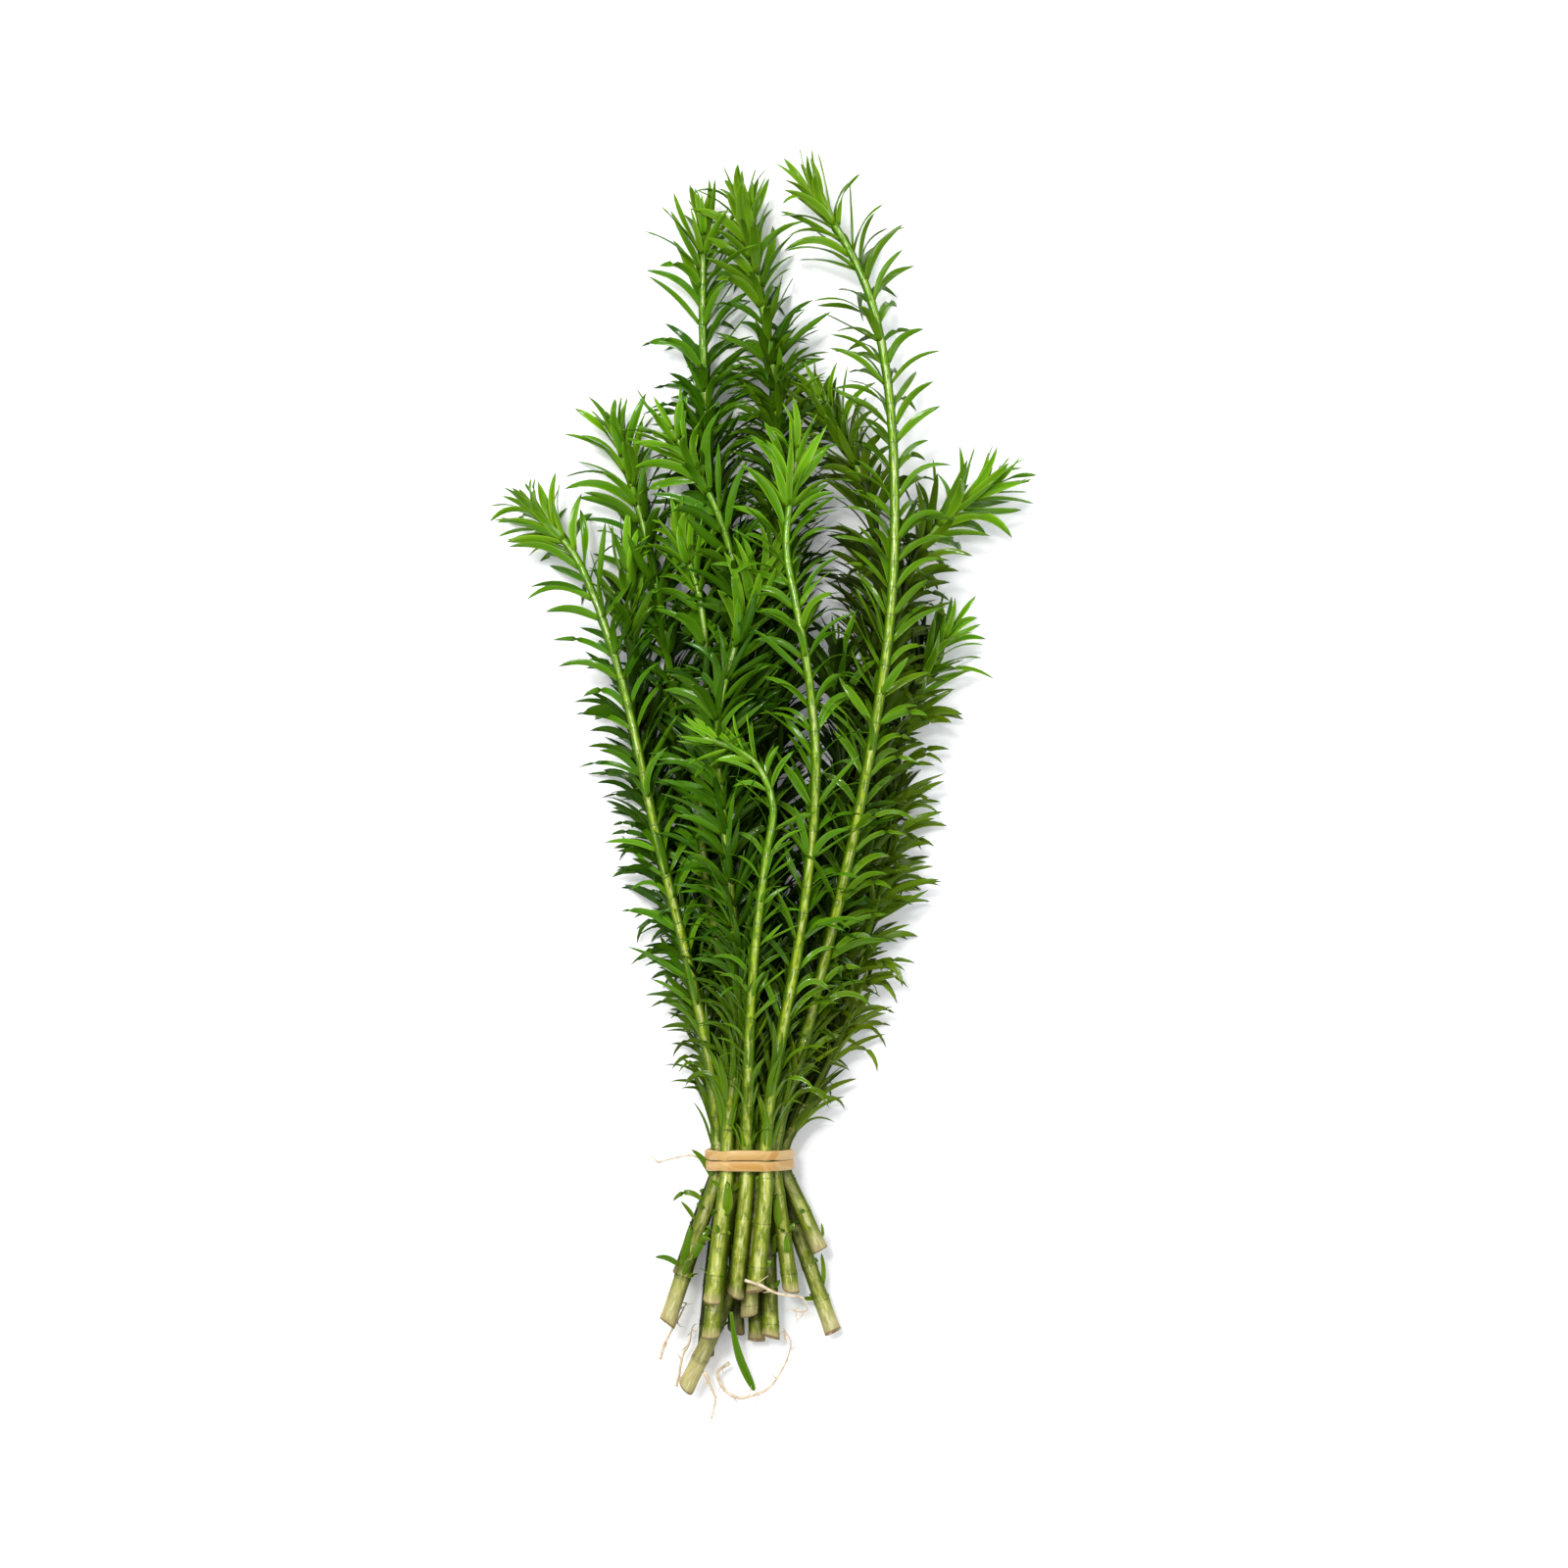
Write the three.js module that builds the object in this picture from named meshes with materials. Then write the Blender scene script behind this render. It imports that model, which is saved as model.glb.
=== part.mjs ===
// A tied bunch of ambulia: fifteen leafy cuttings of a water plant, held by a rubber band wound twice
// round their bare ends, lying on their side. Millimetres, +Z up. The shoots grow towards +Y, the cut
// ends and their roots point to -Y, and the origin is under the middle of the bunch, on the surface.
import * as THREE from "three";

// ---- Overall sizes -----------------------------------------------------------------------------
const REACH = 179; // the tallest stem's tip, beyond the middle of the tie
const HALF_SPREAD = 45; // the widest stem's tip, to the side of the tie
const LOFT = 25; // height of the highest stem's centreline over the surface

// ---- Stems -------------------------------------------------------------------------------------
const STEM_D = 3.2; // at the tie and below it
const TIP_D = 1.4; // where the growing tip ends
const STEM_SIDES = 6;
const STEM_STEP = 9.5; // length of one straight facet along a stem
const STEM_GAP = 0.35; // between stems packed in the tie
const TAIL_GAP = 0.4; // between the cut ends that fan out below the tie
const TAIL_SINK = 0.25; // how much lower a cut end lies than in the tie, as a share of that height
const FAN_OUT = 34; // distance from the tie over which the stems come apart to make room for leaves
const TIE_EDGE = 0.6; // how far past the band the stems still run straight

// ---- Leaves ------------------------------------------------------------------------------------
const LEAF_LENGTH = 12.5;
const LEAF_THICKNESS = 0.8; // at the leaf's base
const LEAF_BASE_WIDTH = 3; // where it joins the strip round its stem
const LEAF_POINT_WIDTH = 0.2;
const LEAVES_PER_TURN = 5;
const TURN_PITCH = 13; // along the stem, from one turn of leaves to the next
const TIP_PITCH = 5; // the same at the growing tip, where the turns crowd together
const LEAF_SLANT = 60; // degrees between a grown leaf and its stem
const TIP_SLANT = 22; // degrees, for the youngest leaves
const COLLAR_GAP = 0.35; // between a stem and the strip that its leaf bases form
const COLLAR_WIDTH = 0.7; // how far that strip stands out between two leaves
const SLIM_COLLAR = 0.25; // the same where the stems are still close together, just beyond the tie
const LEAF_GAP = 0.35; // between a leaf and whatever it grows towards
const FIRST_LEAVES = 9; // the lowest leaves' distance beyond the middle of the tie
const START_TURN = 1.3; // radians from one cutting's first leaf to the next cutting's, round their stems
const BARE_TIP = 2; // the last stretch of stem, hidden in the tip's tuft
const LEAF_BED = 4.2; // lowest height of a leafy stem's centreline: the leaves under it hold it up
const SHORTER = [1, 0.85, 0.7, 0.55, 0.4]; // lengths to try for a leaf with something in its way

// ---- Rubber band -------------------------------------------------------------------------------
const BAND_WIDTH = 1.8; // of one of its two turns
const BAND_THICKNESS = 1.0;
const BAND_GAP = 0.3; // between the band and the stems in it
const TURN_GAP = 0.15; // between its two turns
const BAND_STATIONS = 96;
const CROSSING_ANGLE = -1.8; // radians: where the turns change sides, under the bunch
const CROSSING_SLOPE = 5; // how steeply they do: as high as this, they change sides in an eighth of a turn
const CLIMB = [0.45, 0.2]; // the stretch over which the upper turn climbs onto the lower, by its phase

// ---- Roots and the fallen leaf -----------------------------------------------------------------
const ROOT_D = 0.7;
const ROOT_SIDES = 5;
const ROOT_GAP = 0.35;
const ROOT_STEP = 3; // length of one straight facet along a root
const STRAY_LEAF_WIDTH = 1.6;
const STRAY_LEAF_THICKNESS = 0.5;

// Each cutting. slot: its row in the tie, counted upwards, and its place in that row. end: how far its
// cut end lies to the side and beyond the tie, in mm. way: its stem's route as shares of HALF_SPREAD,
// REACH and LOFT, ending at the tip.
const CUTTINGS = [
  // tall, right, on top, nodding to the left
  { slot: [2, 3], end: [7.4, -24], way: [
    [0.2, 0.12, 0.6], [0.44, 0.37, 0.85], [0.57, 0.58, 0.88], [0.56, 0.8, 0.62], [0.45, 0.92, 0.42],
    [0.26, 1, 0.38],
  ] },
  // tall, middle, at the back
  { slot: [0, 2], end: [1, -33.7], way: [
    [0.07, 0.12, 0.2], [0.09, 0.34, 0.22], [0.11, 0.56, 0.22], [0.11, 0.77, 0.25], [0.03, 0.91, 0.3],
    [-0.04, 0.99, 0.32],
  ] },
  // tall, left of the middle, at the back
  { slot: [0, 1], end: [-2.9, -32], way: [
    [-0.07, 0.22, 0.2], [-0.1, 0.42, 0.22], [-0.16, 0.64, 0.22], [-0.2, 0.84, 0.26], [-0.2, 0.97, 0.3],
  ] },
  // left, underneath, leaning out
  { slot: [0, 0], end: [-13, -22], way: [
    [-0.17, 0.17, 0.2], [-0.26, 0.34, 0.2], [-0.33, 0.49, 0.22], [-0.43, 0.64, 0.24],
    [-0.56, 0.75, 0.26],
  ] },
  // far left, over the left ones
  { slot: [2, 0], end: [-15.7, -30], way: [
    [-0.18, 0.12, 0.5], [-0.38, 0.33, 0.55], [-0.56, 0.52, 0.48], [-0.74, 0.63, 0.36],
    [-0.89, 0.67, 0.3],
  ] },
  // front, middle, on top
  { slot: [3, 2], end: [-0.2, -23.8], way: [
    [0.11, 0.11, 0.75], [0.21, 0.25, 0.92], [0.265, 0.41, 0.95], [0.21, 0.54, 0.92],
    [0.145, 0.63, 0.85], [0.19, 0.73, 0.78],
  ] },
  // right, leaning out at the tip
  { slot: [0, 3], end: [15.3, -32.2], way: [
    [0.21, 0.09, 0.25], [0.49, 0.34, 0.4], [0.57, 0.51, 0.48], [0.71, 0.64, 0.4], [1, 0.7, 0.34],
  ] },
  // short, in front, its tip bent sharply to the left
  { slot: [3, 1], end: [-4, -24.5], way: [
    [-0.02, 0.09, 0.75], [0.01, 0.215, 0.95], [0.067, 0.33, 1], [0.085, 0.38, 1], [0.02, 0.41, 0.98],
    [-0.18, 0.435, 0.95],
  ] },
  // right, under the tall one
  { slot: [1, 2], end: [3.6, -32.8], way: [
    [0.18, 0.11, 0.25], [0.42, 0.34, 0.2], [0.54, 0.56, 0.2], [0.49, 0.69, 0.24], [0.28, 0.79, 0.3],
  ] },
  // front, left of the middle
  { slot: [3, 0], end: [-6.9, -25.2], way: [
    [-0.03, 0.145, 0.7], [-0.09, 0.32, 0.82], [-0.13, 0.45, 0.82], [-0.04, 0.545, 0.72],
    [0.07, 0.615, 0.66],
  ] },
  // left of the middle, half buried
  { slot: [2, 1], end: [-8.6, -31.9], way: [
    [-0.07, 0.12, 0.5], [-0.2, 0.335, 0.55], [-0.18, 0.49, 0.52], [-0.21, 0.58, 0.52],
    [-0.29, 0.64, 0.52],
  ] },
  // right of the middle, half buried
  { slot: [2, 2], end: [-0.5, -28.6], way: [
    [0.13, 0.11, 0.5], [0.33, 0.28, 0.56], [0.38, 0.4, 0.55], [0.36, 0.52, 0.5],
  ] },
  // left, underneath
  { slot: [1, 0], end: [-10.4, -36.9], way: [
    [-0.13, 0.11, 0.25], [-0.36, 0.31, 0.2], [-0.48, 0.47, 0.2], [-0.51, 0.62, 0.26],
  ] },
  // middle, its tip between the left ones
  { slot: [1, 1], end: [-12.2, -41.8], way: [
    [0, 0.17, 0.4], [-0.02, 0.39, 0.45], [-0.055, 0.59, 0.5], [-0.155, 0.68, 0.5], [-0.33, 0.755, 0.48],
  ] },
  // far right, underneath, short
  { slot: [1, 3], end: [12.8, -17.1], way: [
    [0.24, 0.095, 0.25], [0.53, 0.32, 0.2], [0.62, 0.45, 0.22], [0.8, 0.54, 0.26],
  ] },
];
const SLOTS_IN_LOWEST_ROW = 4;

// The roots. from: the cutting each grows from, counted from 0. way: points in mm from that cutting's
// cut end, as offsets to the side, along and up.
const ROOTS = [
  { from: 8, way: [
    [2.2, 1.6, 0], [3.6, -1.8, -1], [1.8, -6.8, -2], [-1.8, -10.4, -2.5], [-5.2, -11.2, -2.5],
    [-8.6, -9.8, -2.5], [-10.2, -7.4, -2.5], [-7.8, -5, -2.5],
  ] },
  { from: 5, way: [
    [-1.8, 2.4, 2.2], [1, 1.6, 2.6], [4.2, 0.2, 2.4], [7.8, -0.6, 2.6], [10, -1.8, 2], [9.2, -3.6, 1.4],
    [7.2, -3.2, 1.2],
  ] },
  { from: 4, way: [
    [3.6, 3.6, -1.4], [1.6, 0.2, -2.4], [-0.2, -3.6, -3], [-1.4, -7, -4],
  ] },
  { from: 12, way: [
    [-2.4, 5.6, 0.4], [-3.4, 2.2, 0.2], [-4.6, -1.4, 0], [-5.4, -5.2, 0],
  ] },
  { from: 13, way: [
    [2.4, 3.4, 0.6], [3.8, 0.4, 0.2], [5.6, -2.4, 0], [4.8, -5.4, 0],
  ] },
];
const STRAY_LEAF = { from: 1, way: [[-4.7, 6, 6], [-4.2, 2, 5], [-3, -3, 3], [-0.8, -8.3, 0]] };

// ---- Shared helpers ----------------------------------------------------------------------------
const radians = THREE.MathUtils.degToRad;
const mix = THREE.MathUtils.lerp;
const ease = (share) => THREE.MathUtils.smoothstep(share, 0, 1);

// One closed surface through rings of points. Each ring runs anticlockwise as seen from further along.
// An open run of rings is closed by a fan to its first and last centre, and a loop by joining its ends.
// Each four-sided face is split from its first corner, or along its shorter diagonal where the rings
// have points that stand far out, so that the faces on both sides of such a point stay apart.
function loft(rings, { loop = false, shorter = false, first, last } = {}) {
  const sides = rings[0].length;
  const points = rings.flat();
  const faces = [];
  const joined = loop ? rings.length : rings.length - 1;
  for (let ring = 0; ring < joined; ring++) {
    for (let side = 0; side < sides; side++) {
      const next = (side + 1) % sides;
      const beyond = ((ring + 1) % rings.length) * sides;
      const [a, b, c, d] = [ring * sides + side, ring * sides + next, beyond + side, beyond + next];
      const other = shorter && points[b].distanceTo(points[c]) < points[a].distanceTo(points[d]);
      faces.push(...(other ? [a, b, c, b, d, c] : [a, b, d, a, d, c]));
    }
  }
  if (!loop) {
    const start = points.push(first) - 1;
    const end = points.push(last) - 1;
    const lastRing = (rings.length - 1) * sides;
    for (let side = 0; side < sides; side++) {
      const next = (side + 1) % sides;
      faces.push(start, next, side, end, lastRing + side, lastRing + next);
    }
  }
  const geometry = new THREE.BufferGeometry().setFromPoints(points);
  geometry.setIndex(faces);
  return geometry;
}

// Directions across a line of points, turned as little as possible from each point to the next.
function framesAlong(points) {
  let across = new THREE.Vector3(1, 0, 0);
  return points.map((point, k) => {
    const before = points[Math.max(k - 1, 0)];
    const after = points[Math.min(k + 1, points.length - 1)];
    const along = after.clone().sub(before).normalize();
    across = across.clone().addScaledVector(along, -across.dot(along)).normalize();
    return { point, along, across, up: along.clone().cross(across) };
  });
}

const ringPoint = ({ point, across, up }, angle, radius) =>
  point
    .clone()
    .addScaledVector(across, radius * Math.cos(angle))
    .addScaledVector(up, radius * Math.sin(angle));

// A round rod along a line of points, with its own radius at each, and an end point just past the last.
function rod(points, radii, sides, pointed) {
  const frames = framesAlong(points);
  const rings = frames.map((frame, k) =>
    Array.from({ length: sides }, (_, side) => ringPoint(frame, (2 * Math.PI * side) / sides, radii[k])),
  );
  const end = frames.at(-1);
  const last = end.point.clone().addScaledVector(end.along, pointed ? radii.at(-1) * 2 : 0);
  return loft(rings, { first: points[0].clone(), last });
}

// The closest points of two straight stretches, as shares along each, and how far apart they are.
function closest(a, b, c, d) {
  const u = b.clone().sub(a);
  const v = d.clone().sub(c);
  const w = a.clone().sub(c);
  const [uu, uv, vv, uw, vw] = [u.dot(u), u.dot(v), v.dot(v), u.dot(w), v.dot(w)];
  const clamp = (x) => Math.min(1, Math.max(0, x));
  const spread = uu * vv - uv * uv;
  let s = spread > 1e-9 ? clamp((uv * vw - vv * uw) / spread) : 0.5;
  const t = clamp((uv * s + vw) / vv);
  s = clamp((uv * t - uw) / uu);
  const apart = a.clone().addScaledVector(u, s).sub(c.clone().addScaledVector(v, t));
  return { s, t, apart, distance: apart.length() };
}

// ---- Routes of the stems -----------------------------------------------------------------------
const slotPitch = STEM_D + STEM_GAP;
const rowPitch = slotPitch * Math.sin(radians(60));
const bandFoot = 2 * BAND_THICKNESS + BAND_GAP + TURN_GAP; // the band's crossing lies under the lowest row
const tieHalf = BAND_WIDTH + TURN_GAP + TIE_EDGE; // stems run straight through the tie this far each way
const stripWidth = COLLAR_GAP + COLLAR_WIDTH; // from a stem to the outer edge of its strip of leaf bases
const leafyGap = 2 * stripWidth + LEAF_GAP;

// Where a cutting crosses the middle of the tie: each row lies in the hollows of the row below, so every
// other row is half a stem over.
function slotPlace([row, place]) {
  const shift = row % 2 ? 0.25 : -0.25;
  const x = (place - (SLOTS_IN_LOWEST_ROW - 1) / 2 + shift) * slotPitch;
  return new THREE.Vector3(x, 0, bandFoot + STEM_D / 2 + row * rowPitch);
}

// Points at equal steps along a curve.
const stepped = (curve, step) => curve.getSpacedPoints(Math.max(3, Math.round(curve.getLength() / step)));

// A cutting's line of points from the cut end to the tip, with the two at the tie's edges exactly placed.
function routeOf({ slot, end, way }) {
  const middle = slotPlace(slot);
  const below = middle.clone().setY(-tieHalf);
  const above = middle.clone().setY(tieHalf);
  const cut = new THREE.Vector3(end[0], end[1], mix(middle.z, STEM_D / 2, TAIL_SINK));
  const lead = new THREE.Vector3(0, tieHalf, 0);
  const halfway = cut.clone().lerp(below, 0.5);
  const tail = new THREE.CatmullRomCurve3([cut, halfway, below, below.clone().add(lead)]);
  const tailPoints = stepped(tail, STEM_STEP / 2).filter((p) => p.y < -tieHalf - 1);
  const places = way.map(([x, y, z]) => new THREE.Vector3(x * HALF_SPREAD, y * REACH, z * LOFT));
  const shoot = new THREE.CatmullRomCurve3([above, above.clone().add(lead), ...places], false, "centripetal");
  const points = [...tailPoints, below, ...stepped(shoot, STEM_STEP)];
  const tied = tailPoints.length;
  const lengths = [0];
  for (let k = tied + 1; k < points.length; k++) {
    lengths.push(lengths.at(-1) + points[k].distanceTo(points[k - 1]));
  }
  const radii = points.map((_, k) => {
    const share = k <= tied ? 0 : lengths[k - tied] / lengths.at(-1);
    return mix(STEM_D, TIP_D, share ** 0.8) / 2;
  });
  return { points, radii, tied };
}

// How free of the tie a point is, from 0 inside it to 1 a short way off, and what that leaves it: its
// room to the next stem, and the lowest that it lies.
const freedom = (y) => ease((Math.abs(y) - tieHalf) / (FIRST_LEAVES - tieHalf));
const roomAt = (y) =>
  y < 0 ? mix(STEM_GAP, TAIL_GAP, freedom(y)) : mix(STEM_GAP, leafyGap, ease(y / FAN_OUT));
const lowest = (y, radius) => (y < 0 ? radius : mix(radius + bandFoot, LEAF_BED, freedom(y)));

// How far each point of a line lies off the middle of its two neighbours: the line's own bend there.
const bendsOf = (points) =>
  points.map((point, k) => {
    const [before, after] = [points[Math.max(k - 1, 0)], points[Math.min(k + 1, points.length - 1)]];
    return point.clone().sub(before.clone().lerp(after, 0.5));
  });

// Pushes crossing stems apart, as they settle on one another, until all have the room that they need.
// Each stem springs back to its own bend, less and less, and not at all in the last rounds.
function settle(routes) {
  const rounds = 260;
  const springRounds = 225;
  const stiffness = 0.45;
  const pushShare = 0.7;
  const margin = 0.05;
  const ownBends = routes.map(({ points }) => bendsOf(points));
  for (let round = 0; round < rounds; round++) {
    const moves = routes.map(({ points }) => points.map(() => new THREE.Vector3()));
    routes.forEach((one, i) =>
      routes.slice(i + 1).forEach((other, offset) => {
        const j = i + 1 + offset;
        for (let k = 0; k + 1 < one.points.length; k++) {
          for (let m = 0; m + 1 < other.points.length; m++) {
            if (Math.abs(one.points[k].y - other.points[m].y) > 2 * STEM_STEP) continue;
            const near = closest(one.points[k], one.points[k + 1], other.points[m], other.points[m + 1]);
            const y = mix(one.points[k].y, one.points[k + 1].y, near.s);
            const need = one.radii[k] + other.radii[m] + roomAt(y) + margin;
            if (near.distance >= need) continue;
            const push = near.apart.clone().multiplyScalar(((need - near.distance) / near.distance) * 0.5);
            push.y = 0;
            moves[i][k].addScaledVector(push, 1 - near.s);
            moves[i][k + 1].addScaledVector(push, near.s);
            moves[j][m].addScaledVector(push, near.t - 1);
            moves[j][m + 1].addScaledVector(push, -near.t);
          }
        }
      }),
    );
    const spring = stiffness * Math.max(0, 1 - round / springRounds);
    routes.forEach(({ points, radii }, i) => {
      const strained = bendsOf(points);
      points.forEach((point, k) => {
        const inside = k > 0 && k + 1 < points.length;
        const back = ownBends[i][k].clone().sub(strained[k]).multiplyScalar(inside ? spring : 0);
        point.addScaledVector(moves[i][k].multiplyScalar(pushShare).add(back), freedom(point.y));
        point.z = Math.max(point.z, lowest(point.y, radii[k]));
      });
    });
  }
}

// ---- Leaves ------------------------------------------------------------------------------------
// A place on a stem at a given distance beyond the tie, with its directions and the stem's radius.
function placeOn({ points, radii, tied }, frames, distance) {
  let k = tied;
  let left = distance;
  while (k + 2 < points.length && left > points[k].distanceTo(points[k + 1])) {
    left -= points[k].distanceTo(points[k + 1]);
    k++;
  }
  const share = Math.min(1, left / points[k].distanceTo(points[k + 1]));
  const [here, next] = [frames[k], frames[k + 1]];
  const along = here.along.clone().lerp(next.along, share).normalize();
  const across = here.across.clone().lerp(next.across, share);
  across.addScaledVector(along, -across.dot(along)).normalize();
  const point = here.point.clone().lerp(next.point, share);
  const radius = mix(radii[k], radii[k + 1], share);
  return { point, along, across, up: along.clone().cross(across), radius };
}

const leafHalfWidth = (share) => mix(LEAF_BASE_WIDTH, LEAF_POINT_WIDTH, share) / 2;

// How far the strip can stand out from a stem here, with the next stem's own strip beside it.
function collarAt(place, owner, stems) {
  const room = stems.reduce((least, other) => {
    if (other.owner === owner) return least;
    const ahead = place.point.clone().addScaledVector(place.along, 0.5);
    const near = closest(place.point, ahead, other.a, other.b);
    return Math.min(least, near.distance - mix(other.ra, other.rb, near.t) - place.radius);
  }, Infinity);
  return Math.min(COLLAR_WIDTH, (room - LEAF_GAP) / 2 - COLLAR_GAP);
}

// Whether a leaf from base to tip stays clear of every other cutting's stem, strip and leaves.
function clear(base, tip, owner, obstacles) {
  return obstacles.every((other) => {
    if (other.owner === owner) return true;
    const near = closest(base, tip, other.a, other.b);
    const room = leafHalfWidth(near.s) + mix(other.ra, other.rb, near.t) + LEAF_GAP;
    return near.distance > room;
  });
}

// The longest leaf that fits here. It is pressed flat where it meets the surface, and where there is
// no room for even a short one it stays a bud that stands out no further than the strip.
function grow(place, outward, slant, collar, owner, obstacles) {
  const base = place.point.clone().addScaledVector(outward, place.radius + COLLAR_GAP);
  const rise = place.along.clone().multiplyScalar(Math.cos(slant)).addScaledVector(outward, Math.sin(slant));
  for (const share of SHORTER) {
    const tip = base.clone().addScaledVector(rise, LEAF_LENGTH * share);
    tip.z = Math.max(tip.z, STEM_GAP);
    if (clear(base, tip, owner, obstacles)) {
      obstacles.push({ owner, a: base, b: tip, ra: leafHalfWidth(0), rb: leafHalfWidth(1) });
      return tip;
    }
  }
  return base.addScaledVector(outward, collar);
}

// All the leaves of one cutting as one body: a thin strip winds up the stem, as the joined leaf bases
// do, and every other point of its outer edge is drawn out into a leaf. It starts where the stems have
// come far enough apart for it.
function foliage(route, owner, stems, obstacles) {
  const frames = framesAlong(route.points);
  const shoot = route.points.slice(route.tied);
  const reach = shoot.slice(1).reduce((sum, point, k) => sum + point.distanceTo(shoot[k]), 0);
  const rings = [];
  let distance = FIRST_LEAVES + tieHalf;
  let angle = owner * START_TURN;
  const stationTurn = Math.PI / LEAVES_PER_TURN;
  for (let station = 0; distance < reach - BARE_TIP; station++) {
    const place = placeOn(route, frames, distance);
    const outward = ringPoint({ ...place, point: new THREE.Vector3() }, angle, 1);
    const toTip = ease((distance - reach + 2 * LEAF_LENGTH) / (2 * LEAF_LENGTH));
    const slant = radians(mix(LEAF_SLANT, TIP_SLANT, toTip));
    const inner = ringPoint(place, angle, place.radius + COLLAR_GAP);
    const collar = collarAt(place, owner, stems);
    if (collar < SLIM_COLLAR) rings.length = 0;
    const isLeaf = station % 2 === 1 && collar >= SLIM_COLLAR;
    const outer = isLeaf
      ? grow(place, outward, slant, collar, owner, obstacles)
      : ringPoint(place, angle, place.radius + COLLAR_GAP + collar);
    rings.push([
      inner.clone().addScaledVector(place.along, LEAF_THICKNESS / 2),
      outer,
      inner.clone().addScaledVector(place.along, -LEAF_THICKNESS / 2),
    ]);
    angle += stationTurn;
    distance += (mix(TURN_PITCH, TIP_PITCH, toTip) * stationTurn) / (2 * Math.PI);
  }
  const centre = ([a, b, c]) => a.clone().add(b).add(c).divideScalar(3);
  return loft(rings, { shorter: true, first: centre(rings[0]), last: centre(rings.at(-1)) });
}

// ---- Rubber band -------------------------------------------------------------------------------
// One closed band wound twice. Its two turns lie side by side round the outermost stems, and change
// sides once under the bunch, where the one passes over the other.
function rubberBand(slots) {
  const rings = Array.from({ length: BAND_STATIONS }, (_, station) => {
    const wound = (station * 4 * Math.PI) / BAND_STATIONS;
    const phase = wound / 2 - (CROSSING_ANGLE - Math.PI) / 2;
    const outward = new THREE.Vector3(Math.cos(wound), 0, Math.sin(wound));
    const outermost = slots.reduce((a, b) => (b.dot(outward) > a.dot(outward) ? b : a));
    const swing = THREE.MathUtils.clamp(Math.cos(phase) * CROSSING_SLOPE, -1, 1);
    const [foot, top] = CLIMB;
    const climbed = Math.sin(phase) > 0 ? ease((foot - Math.abs(Math.cos(phase))) / (foot - top)) : 0;
    const inside = STEM_D / 2 + BAND_GAP + climbed * (BAND_THICKNESS + TURN_GAP);
    const aside = (swing * (BAND_WIDTH + TURN_GAP)) / 2;
    return [[1, -1], [1, 1], [0, 1], [0, -1]].map(([out, side]) =>
      outermost
        .clone()
        .addScaledVector(outward, inside + out * BAND_THICKNESS)
        .setY(aside + (side * BAND_WIDTH) / 2),
    );
  });
  return loft(rings, { loop: true });
}

// ---- Roots and the fallen leaf -----------------------------------------------------------------
// A line of points that starts at a cutting's cut end and is moved clear of all that is there already.
function looseLine({ from, way }, routes, radius, obstacles) {
  const cut = routes[from].points[0];
  const curve = new THREE.CatmullRomCurve3(way.map(([x, y, z]) => new THREE.Vector3(x, y, z).add(cut)));
  const points = stepped(curve, ROOT_STEP);
  const rounds = 200;
  const margin = 0.05;
  for (let round = 0; round < rounds; round++) {
    for (let k = 0; k + 1 < points.length; k++) {
      for (const other of obstacles) {
        const near = closest(points[k], points[k + 1], other.a, other.b);
        const need = radius + mix(other.ra, other.rb, near.t) + ROOT_GAP + margin;
        if (near.distance >= need) continue;
        const push = near.apart.multiplyScalar((need - near.distance) / Math.max(near.distance, 0.01) / 2);
        points[k].add(push);
        points[k + 1].add(push);
      }
    }
    points.forEach((point) => (point.z = Math.max(point.z, radius)));
  }
  points.slice(1).forEach((b, k) => obstacles.push({ owner: -1, a: points[k], b, ra: radius, rb: radius }));
  return points;
}

// A flat leaf along a line of points: widest in the middle, with a ridge above and below. It is cut
// short by a little at both points, so that its ends still have some width.
function blade(points) {
  const [start, end] = [0.1, 0.93];
  const rings = framesAlong(points).map((frame, k) => {
    const half = (STRAY_LEAF_WIDTH / 2) * Math.sin(Math.PI * mix(start, end, k / (points.length - 1)));
    const thick = STRAY_LEAF_THICKNESS / 2;
    const [left, right] = [ringPoint(frame, Math.PI, half), ringPoint(frame, 0, half)];
    return [right, ringPoint(frame, Math.PI / 2, thick), left, ringPoint(frame, -Math.PI / 2, thick)];
  });
  return loft(rings, { first: points[0].clone(), last: points.at(-1).clone() });
}

// ---- Materials ---------------------------------------------------------------------------------
const stemGreen = new THREE.MeshStandardMaterial({ color: 0x8ea83a, roughness: 0.35, metalness: 0 });
const leafGreen = new THREE.MeshStandardMaterial({ color: 0x3f8216, roughness: 0.4, metalness: 0 });
const latexTan = new THREE.MeshStandardMaterial({ color: 0xd8a95e, roughness: 0.5, metalness: 0 });
const rootCream = new THREE.MeshStandardMaterial({ color: 0xe8dcb8, roughness: 0.6, metalness: 0 });

// ---- The bunch ---------------------------------------------------------------------------------
const bunch = new THREE.Group();

function add(name, geometry, material) {
  const mesh = new THREE.Mesh(geometry, material);
  mesh.name = name;
  bunch.add(mesh);
}

const numbered = (word, k) => `${word}_${String(k + 1).padStart(2, "0")}`;
const routes = CUTTINGS.map(routeOf);
settle(routes);

const stems = routes.flatMap(({ points, radii }, owner) =>
  points.slice(1).map((b, k) => ({ owner, a: points[k], b, ra: radii[k], rb: radii[k + 1] })),
);
const obstacles = stems.map((stem) => ({ ...stem, ra: stem.ra + stripWidth, rb: stem.rb + stripWidth }));

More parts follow.
